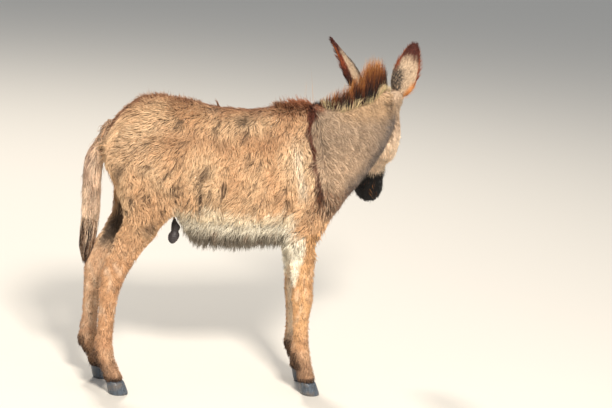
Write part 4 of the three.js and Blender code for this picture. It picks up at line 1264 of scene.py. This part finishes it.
face_s, face_y, face_d = in_head(face_middle).T
on_face = face_part == "head"
on_chin = on_face & (face_s > 0.29) & (face_s < 0.36) & (face_d < -0.082) & (np.abs(face_y) < 0.034)
grown(
    "muzzle_fringe", on_face & (face_s > 0.258) & (face_s < 0.302), 34_000, 4, seed=36, unwrap=head_map,
    cling=0.6, swirl=0.5, curl=0.06, snap=False, long=1.5, wide=0.85, lift=0.45, dye=black_dye
)
grown(
    "chin_hair", on_chin, 16_000, 4, seed=37, unwrap=head_map, cling=0.6, swirl=0.4, curl=0.08, snap=False,
    long=2.4, wide=0.8, lift=0.5, dye=chin_dye
)
grown(
    "whiskers", on_face & (face_s > 0.335) & hairy, 1_300, 5, seed=38, unwrap=head_map, cling=0.0,
    swirl=0.4, curl=0.06, snap=False, long=1.7, wide=0.35, lift=0.9, dye=chin_dye
)

tail_map = Unwrap([(["tail"], "ear")])
dock_front = (hide_normals[hide.tris].mean(1)[:, 0] > -0.15) & (mz > tail_high_corner[2] - 0.045)
grown(
    "coat_tail", (face_part == "tail") & ~dock_front, 80_000, 5, seed=35, unwrap=tail_map, cling=0.55,
    swirl=0.16, curl=0.035, lift=0.04, loose_share=0.05, uneven=2.2, shades=(0.66, 1.12)
)


# ------------------------------------------------------------------------------------- mane
# The mane and forelock are stiff upright hair, near black at the roots and bleached to orange at the
# tips, with a fringe of cream neck hair standing up along each side.
MANE_BLACK, MANE_RUST, MANE_ORANGE, MANE_STRAW = "#1A0E09", "#5A2C12", "#A8622A", "#D29A50"
MANE_UP = unit(np.array([0.05, 0, 1.0]))
LEAST_HEIGHT = 7 * MM


def on_solid(name, count, draw):
    """Points spread evenly over one solid."""
    solid = joined([name], 0)
    bmesh.ops.triangulate(solid, faces=solid.faces)
    corners = np.array([[v.co for v in f.verts] for f in solid.faces])
    solid.free()
    area = np.linalg.norm(np.cross(corners[:, 1] - corners[:, 0], corners[:, 2] - corners[:, 0]), axis=1)
    pick = corners[draw.choice(len(area), count, p=area / area.sum())]
    u, v = np.sqrt(draw.random(count)), draw.random(count)
    return np.einsum("nk,nkc->nc", np.column_stack([1 - u, u * (1 - v), u * v]), pick)


def standing(name, count, seed, lean, half, stations=5):
    """Hair that stands on the hide under one solid, and ends at that solid's surface."""
    draw = np.random.default_rng(seed)
    tips = on_solid(name, count, draw)
    roots, kept = [], []
    for i, tip in enumerate(tips):
        near = hide_tree.ray_cast(Vector(tip), Vector(-MANE_UP))[0]
        if near is not None and (tip - near) @ MANE_UP > LEAST_HEIGHT:
            roots.append(near)
            kept.append(i)
    tips, roots = tips[kept], np.array(roots)
    n = len(tips)
    height = (tips - roots) @ MANE_UP
    share = np.linspace(0, 1, stations)
    wave = np.column_stack([ripple(roots, 0.035, seed + k) for k in (1, 2, 3)])
    sway = draw.normal(0, 0.055, (n, 3)) + 0.07 * wave
    past_outline = height * draw.uniform(-0.12, 0.10, n)
    ends = tips + (sway + lean) * height[:, None] + MANE_UP * past_outline[:, None]
    roots = roots - MANE_UP * 3 * MM
    paths = roots[:, None] + (ends - roots)[:, None] * share[None, :, None]
    bow = draw.normal(0, 0.05, (n, 3)) * height[:, None]
    paths += bow[:, None] * np.sin(math.pi * share)[None, :, None]
    burn = np.clip(0.5 + 0.32 * draw.normal(size=n) + 0.40 * ripple(roots, 0.03, seed + 4), -0.2, 1.2)
    order = np.argsort(roots[:, 0])
    highest = np.array([np.sort(height[order][max(0, i - 60):i + 60])[-8:].mean() for i in range(n)])
    full = np.empty(n)
    full[order] = highest
    dyes = np.empty((n, stations, 3))
    for k, own_part in enumerate(share):
        bleached = own_part * height / full + 0.35 * (burn - 0.5)
        dyes[:, k] = layered(linear(MANE_BLACK), [
            (MANE_RUST, slope(0.18, 0.62, bleached)),
            (MANE_ORANGE, 0.9 * slope(0.48, 0.92, bleached)),
            (MANE_STRAW, 0.9 * slope(0.82, 1.12, bleached)),
        ])
    dyes *= draw.uniform(0.75, 1.25, (n, 1, 1))
    faced = unit(np.cross(paths[:, -1] - paths[:, 0], draw.normal(size=(n, 3))))
    ways = np.repeat(faced[:, None], stations, axis=1)
    spots = 0.01 + 0.98 * (roots[:, :2] - roots[:, :2].min(0)) / np.ptp(roots[:, :2], axis=0)
    made = locks(name + "_hair", paths, ways, half * draw.uniform(0.7, 1.3, n), dyes, spots, (1.0, 1.0))
    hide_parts(name)
    return made


standing("mane", 4300, 41, np.array([-0.05, -0.02, 0.16]), 1.2 * MM)
standing("forelock", 1700, 42, DOWN_FACE * 0.1 + OUT_OF_BROW * 0.06 + MANE_UP * 0.14, 1.2 * MM)

# The fringe along each side of the mane's foot.
FRINGE_REACH = 13 * MM
FRINGE_FROM = 0.19
beside_mane = np.isin(face_part, ("neck", "head", "trunk")) & near_solid("mane", face_middle, FRINGE_REACH)


def fringe_dye(roots, tint, draw):
    pale = draw.random(len(roots)) < 0.65
    return np.where(pale[:, None], linear("#E4CC98") * draw.uniform(0.55, 1.1, (len(roots), 1)), tint)


hide.known["lie"][hide.tris[beside_mane].ravel()] = MANE_UP
fringe_map = Unwrap([(["neck", "head", "trunk"], "neck")])
grown(
    "mane_fringe", beside_mane & (mx > FRINGE_FROM), 95_000, 4, seed=43, unwrap=fringe_map, cling=0.35,
    swirl=0.6, snap=False, long=2.7, wide=0.65, lift=0.6, shades=(0.8, 1.05), dye=fringe_dye
)


# ------------------------------------------------------------------------------------- tail switch
# Below the dock the tail is only hair, a blackish brush a hand long that tapers to a wisp. Paler hair
# from the dock runs down over its upper part.
SWITCH_BLACK, SWITCH_BROWN, SWITCH_TAN = "#1C120E", "#482C1E", "#946C50"
tail_solids = [frame["nodes"][name].data for name in ("tail", "tail_switch")]
tail_points = np.array([v.co for solid in tail_solids for v in solid.vertices])
LEVELS = 16
tail_low, tail_high = tail_points[:, 2].min(), tail_points[:, 2].max()
edges = np.linspace(tail_low, tail_high, LEVELS + 1)
level_of = np.clip(np.digitize(tail_points[:, 2], edges) - 1, 0, LEVELS - 1)
tail_levels = [k for k in range(LEVELS) if (level_of == k).sum() > 2]
level_z = np.array([tail_points[level_of == k, 2].mean() for k in tail_levels])
level_centre = np.array([tail_points[level_of == k].mean(0) for k in tail_levels])
level_reach = np.array([np.ptp(tail_points[level_of == k, :2], axis=0).mean() / 2 for k in tail_levels])


def switch_hair(name, count, from_z, to_z, length, half, colours, seed):
    """Hairs that leave the tail's middle and run down inside its outline, from one height to another."""
    draw = np.random.default_rng(seed)
    stations = 6
    share = np.linspace(0, 1, stations)
    start = draw.uniform(to_z, from_z, count)
    reach = length * draw.uniform(0.6, 1.25, count)
    lowest = np.maximum(start - reach, tail_low + 2 * MM + 0.11 * draw.random(count) ** 1.6)
    heights = start[:, None] + (np.minimum(lowest, start - 20 * MM) - start)[:, None] * share
    angle = draw.uniform(0, 2 * math.pi, count)[:, None] + draw.normal(0, 0.5, count)[:, None] * share
    spread = np.sqrt(draw.random(count))[:, None] * (0.45 + 0.55 * np.sin(math.pi * 0.5 * share))
    around_z = np.interp(heights, level_z, level_reach)
    around_z = around_z * np.sqrt(slope(tail_low - 0.02, tail_low + 0.07, heights))
    middle = np.stack([np.interp(heights, level_z, level_centre[:, k]) for k in (0, 1)], axis=-1)
    paths = np.empty((count, stations, 3))
    paths[..., 0] = middle[..., 0] + np.cos(angle) * spread * around_z * 0.98
    paths[..., 1] = middle[..., 1] + np.sin(angle) * spread * around_z * 0.98
    paths[..., 2] = heights
    outward_ways = np.stack([np.cos(angle), np.sin(angle), np.zeros_like(angle)], axis=-1)
    pick = draw.random(count)
    rest = [(colours[1], slope(0.45, 0.75, pick)), (colours[2], slope(0.82, 0.95, pick))]
    tint = layered(linear(colours[0]), rest) * draw.uniform(0.75, 1.25, (count, 1))
    round_tail = (angle[:, 0] % (2 * math.pi)) / (2 * math.pi)
    spots = 0.01 + 0.98 * np.column_stack([round_tail, (start - tail_low) / (tail_high - tail_low)])
    return locks(
        name, paths, outward_ways, half * draw.uniform(0.7, 1.3, count), tint, np.clip(spots, 0.01, 0.99)
    )


brush = switch_hair(
    "tail_brush", 1700, 0.60, 0.45, 0.115, 1.2 * MM, (SWITCH_BLACK, SWITCH_BROWN, SWITCH_TAN), 51
)
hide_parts("tail_switch")
switch_hair("tail_wisps", 1400, 0.80, 0.50, 0.15, 1.0 * MM, (TAIL_TAN, "#B8906E", SWITCH_BROWN), 52)


# ------------------------------------------------------------------------------------- fetlocks
# The fetlock is the joint above the pastern. Coarse hair, darker and longer than the shank's, hangs in a
# tuft behind it, and a short fringe of the same hair hangs over the top edge of the hoof.
def feather_dye(roots, tint, draw):
    dark = np.where(draw.random(len(roots)) < 0.7, 0.8, 0.3)
    return toward(tint, linear(SOOT_BROWN), dark)


behind = hide_normals[hide.tris].mean(1)[:, 0] < -0.45
pastern = np.isin(face_part, ("fore_pastern", "hind_pastern", "fore_cannon", "hind_cannon"))
feather = pastern & behind & (mz > 0.095) & (mz < 0.15)
grown(
    "fetlock_tufts", feather, 60_000, 4, seed=61, unwrap=leg_map, cling=0.5, swirl=0.35, curl=0.08,
    snap=False, long=1.7, wide=0.9, lift=0.2, dye=feather_dye
)
coronet = pastern & (mz < 0.062) & (mz > 0.047)
grown(
    "coronet_fringe", coronet, 90_000, 3, seed=62, unwrap=leg_map, cling=0.3, swirl=0.25, snap=False,
    long=1.0, wide=0.8, lift=0.25, dye=feather_dye
)


# ------------------------------------------------------------------------------------- hooves
# Narrow upright donkey hooves of slate-coloured horn, grown in level rings and worn smooth at the foot.
# Each stands on the rim of its wall, with the sole arched up a little inside it.
HOOF_CELL = 2.4 * MM
RING_MM = 6.5
horn, tree, shader = material("hoof_horn", 0.38, IOR=1.54)
where = [(node(tree, "ShaderNodeTexCoord").outputs["Object"], "Vector")]
apart = node(tree, "ShaderNodeSeparateXYZ", where)
grain = node(tree, "ShaderNodeMapping", where, Scale=(1 / (2 * MM), 1 / (2 * MM), 1 / (40 * MM)))
fibres = node(tree, "ShaderNodeTexNoise", [(grain.outputs[0], "Vector")], Scale=1.0, Detail=3.0)
stain = node(tree, "ShaderNodeTexNoise", where, Scale=1 / (22 * MM), Detail=3.0)
slate = node(tree, "ShaderNodeValToRGB", [(fibres.outputs["Fac"], 0)])
ramp = slate.color_ramp.elements
ramp[0].position, ramp[1].position = 0.3, 0.72
ramp[0].color, ramp[1].color = tinted("#23292F"), tinted("#5C6672")
soiled = node(
    tree, "ShaderNodeMapRange", [(stain.outputs["Fac"], "Value")], From_Min=0.45, From_Max=0.75,
    To_Min=0.0, To_Max=0.55
)
earth = node(tree, "ShaderNodeMix", [(soiled.outputs[0], 0), (slate.outputs[0], 6)], data_type="RGBA")
earth.inputs[7].default_value = tinted("#7A6854")
tree.links.new(earth.outputs[2], shader.inputs["Base Color"])
steps = node(tree, "ShaderNodeMath", [(apart.outputs["Z"], 0)], operation="MULTIPLY")
steps.inputs[1].default_value = 2 * math.pi / (RING_MM * MM)
rings_of = node(tree, "ShaderNodeMath", [(steps.outputs[0], 0)], operation="SINE")
bump = node(tree, "ShaderNodeBump", [(rings_of.outputs[0], "Height")], Strength=0.5, Distance=0.5 * MM)
fine = node(
    tree, "ShaderNodeBump", [(fibres.outputs["Fac"], "Height"), (bump.outputs[0], "Normal")], Strength=0.3,
    Distance=0.2 * MM
)
tree.links.new(fine.outputs["Normal"], shader.inputs["Normal"])

for end in ("fore", "hind"):
    for side in SIDES:
        name = f"{end}_hoof_{side}"
        shell = Surface(drawn_over([name], HOOF_CELL, 0))
        low_z = shell.co[:, 2] < 0.6 * HOOF_CELL
        shell.co = shell.eased(shell.co, 14, 0.4)
        level_z_mm = shell.co[:, 2] / MM
        wall = slope(2, 6, level_z_mm) * slope(46, 40, level_z_mm)
        out_of_wall = shell.normals() * [1, 1, 0]
        shell.co += out_of_wall * (wall * 0.35 * MM * np.sin(2 * math.pi * level_z_mm / RING_MM))[:, None]
        middle = shell.co.mean(0)
        arch = 3.0 * MM * slope(0.75, 0.35, np.linalg.norm((shell.co - middle)[:, :2], axis=1) / 0.036)
        shell.co[low_z, 2] = np.maximum(arch[low_z], 0)
        shell.co[:, 2] = np.maximum(shell.co[:, 2], 0)
        hoof = piece(name + "_horn", shell.co, shell.faces, horn)
        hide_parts(name)


# ------------------------------------------------------------------------------------- sheath
# Bare slate-dark skin, without hair, hangs below the flank in one loose tube. It is folded in rings and
# drawn in at two waists.
sheath_skin, tree, shader = material("bare_sheath_skin", 0.5, IOR=1.45)
where = [(node(tree, "ShaderNodeTexCoord").outputs["Object"], "Vector")]
pores = node(tree, "ShaderNodeTexNoise", where, Scale=1 / (3 * MM), Detail=4.0)
shades = node(tree, "ShaderNodeValToRGB", [(pores.outputs["Fac"], 0)])
ramp = shades.color_ramp.elements
ramp[0].color, ramp[1].color = tinted("#191618"), tinted("#463F40")
tree.links.new(shades.outputs[0], shader.inputs["Base Color"])
bump = node(tree, "ShaderNodeBump", [(pores.outputs["Fac"], "Height")], Strength=0.5, Distance=0.6 * MM)
tree.links.new(bump.outputs["Normal"], shader.inputs["Normal"])
fold = Surface(drawn_over(["sheath"], 2 * MM, 0))
fold.co = fold.eased(fold.co, 8, 0.4)
low, high = (corner[2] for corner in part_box("sheath"))
share = (fold.co[:, 2] - low) / (high - low)
waist = hump(share - 0.42, 0.075) + 0.5 * hump(share - 0.80, 0.06)
rings = 0.5 * MM * np.sin(2 * math.pi * fold.co[:, 2] / (7 * MM))
fold.co += fold.normals() * [1, 1, 0] * (rings - 3.6 * MM * waist)[:, None]
sheath = piece("sheath_skin", fold.co, fold.faces, sheath_skin)
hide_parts("sheath")


# ------------------------------------------------------------------------------------- eyes
# Large dark eyes set at the sides of the head: a wet cornea over a brown iris and a level oval pupil.
# Each is one ball, a little fuller at the cornea, with a row of stiff lashes on the upper lid.
EYE_RINGS, EYE_SECTORS = 28, 48
cornea, tree, shader = material("wet_eye", 0.06, IOR=1.376, Coat_Weight=0.6, Coat_Roughness=0.03)
where = [(node(tree, "ShaderNodeTexCoord").outputs["Object"], "Vector")]
fibre = node(tree, "ShaderNodeTexNoise", where, Scale=1 / (1.2 * MM), Detail=3.0)
light = node(
    tree, "ShaderNodeMapRange", [(fibre.outputs["Fac"], "Value")], **CLOUDY, To_Min=0.75, To_Max=1.25
)
show_markings(tree, shader, light.outputs["Result"])
for side in SIDES:
    ball, looks, level_way, _ = eye_axes(side)
    up_way = np.cross(looks, level_way)
    points, faces, dyes = [ball + looks * EYE_RADIUS * 1.03], [], [linear("#050404")]
    for r in range(1, EYE_RINGS):
        polar = math.pi * r / EYE_RINGS
        bulge = 1 + 0.03 * slope(0.9, 0.2, polar)
        for k in range(EYE_SECTORS):
            turn = 2 * math.pi * k / EYE_SECTORS
            sideways = level_way * math.cos(turn) + up_way * math.sin(turn)
            points.append(ball + (looks * math.cos(polar) + sideways * math.sin(polar)) * EYE_RADIUS * bulge)
            pupil = math.hypot(math.cos(turn) * polar / 0.42, math.sin(turn) * polar / 0.24)
            tone = linear("#050404") + (linear("#2A170C") - linear("#050404")) * slope(0.9, 1.15, pupil)
            tone = tone + (linear("#120B08") - tone) * slope(0.72, 0.85, polar)
            dyes.append(tone + (linear("#6E5A4C") - tone) * slope(0.95, 1.15, polar))
    points.append(ball - looks * EYE_RADIUS)
    dyes.append(linear("#6E5A4C"))
    for k in range(EYE_SECTORS):
        after = (k + 1) % EYE_SECTORS
        faces.append((0, 1 + k, 1 + after))
        last = 1 + (EYE_RINGS - 2) * EYE_SECTORS
        faces.append((last + after, last + k, len(points) - 1))
        for r in range(EYE_RINGS - 2):
            a = 1 + r * EYE_SECTORS
            faces.append((a + k, a + EYE_SECTORS + k, a + EYE_SECTORS + after, a + after))
    globe = piece(f"eyeball_{side}", points, faces, cornea)
    paint_points(globe.data, "markings", np.array(dyes))
    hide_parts(f"eye_{side}")

# Upper lashes are the longest, sparse, stiff and black, and droop a little over the eye.
LASHES, LASH_LONG = 52, 15 * MM
draw = np.random.default_rng(91)
for side in SIDES:
    ball, looks, corner, lid_up = eye_axes(side)
    turn = (np.linspace(math.radians(24), math.radians(150), LASHES) + draw.normal(0, 0.03, LASHES))[:, None]
    roots = ball + corner * np.cos(turn) * OPENING_LONG + lid_up * np.sin(turn) * OPENING_HIGH
    roots = ball + unit(roots - ball + looks * EYE_RADIUS * 0.8) * (EYE_RADIUS + 0.6 * LID_THICK)
    heads = unit(looks + corner * np.cos(turn) * 0.55 + lid_up * (0.35 + draw.normal(0, 0.10, (LASHES, 1))))
    share = np.linspace(0, 1, 5)
    reach = LASH_LONG * draw.uniform(0.55, 1.1, LASHES) * (0.55 + 0.45 * np.sin(turn[:, 0]))
    paths = roots[:, None] + heads[:, None] * (reach[:, None] * share)[..., None]
    paths -= lid_up * (0.28 * reach[:, None] * share**2)[..., None]
    ways = np.repeat(np.tile(lid_up, (LASHES, 1))[:, None], 5, axis=1)
    dyes = np.tile(linear("#0C0807"), (LASHES, 1))
    spots = head_map.place(roots, np.full(LASHES, "head"))
    locks(f"lashes_{side}", paths, ways, np.full(LASHES, 0.32 * MM), dyes, spots)
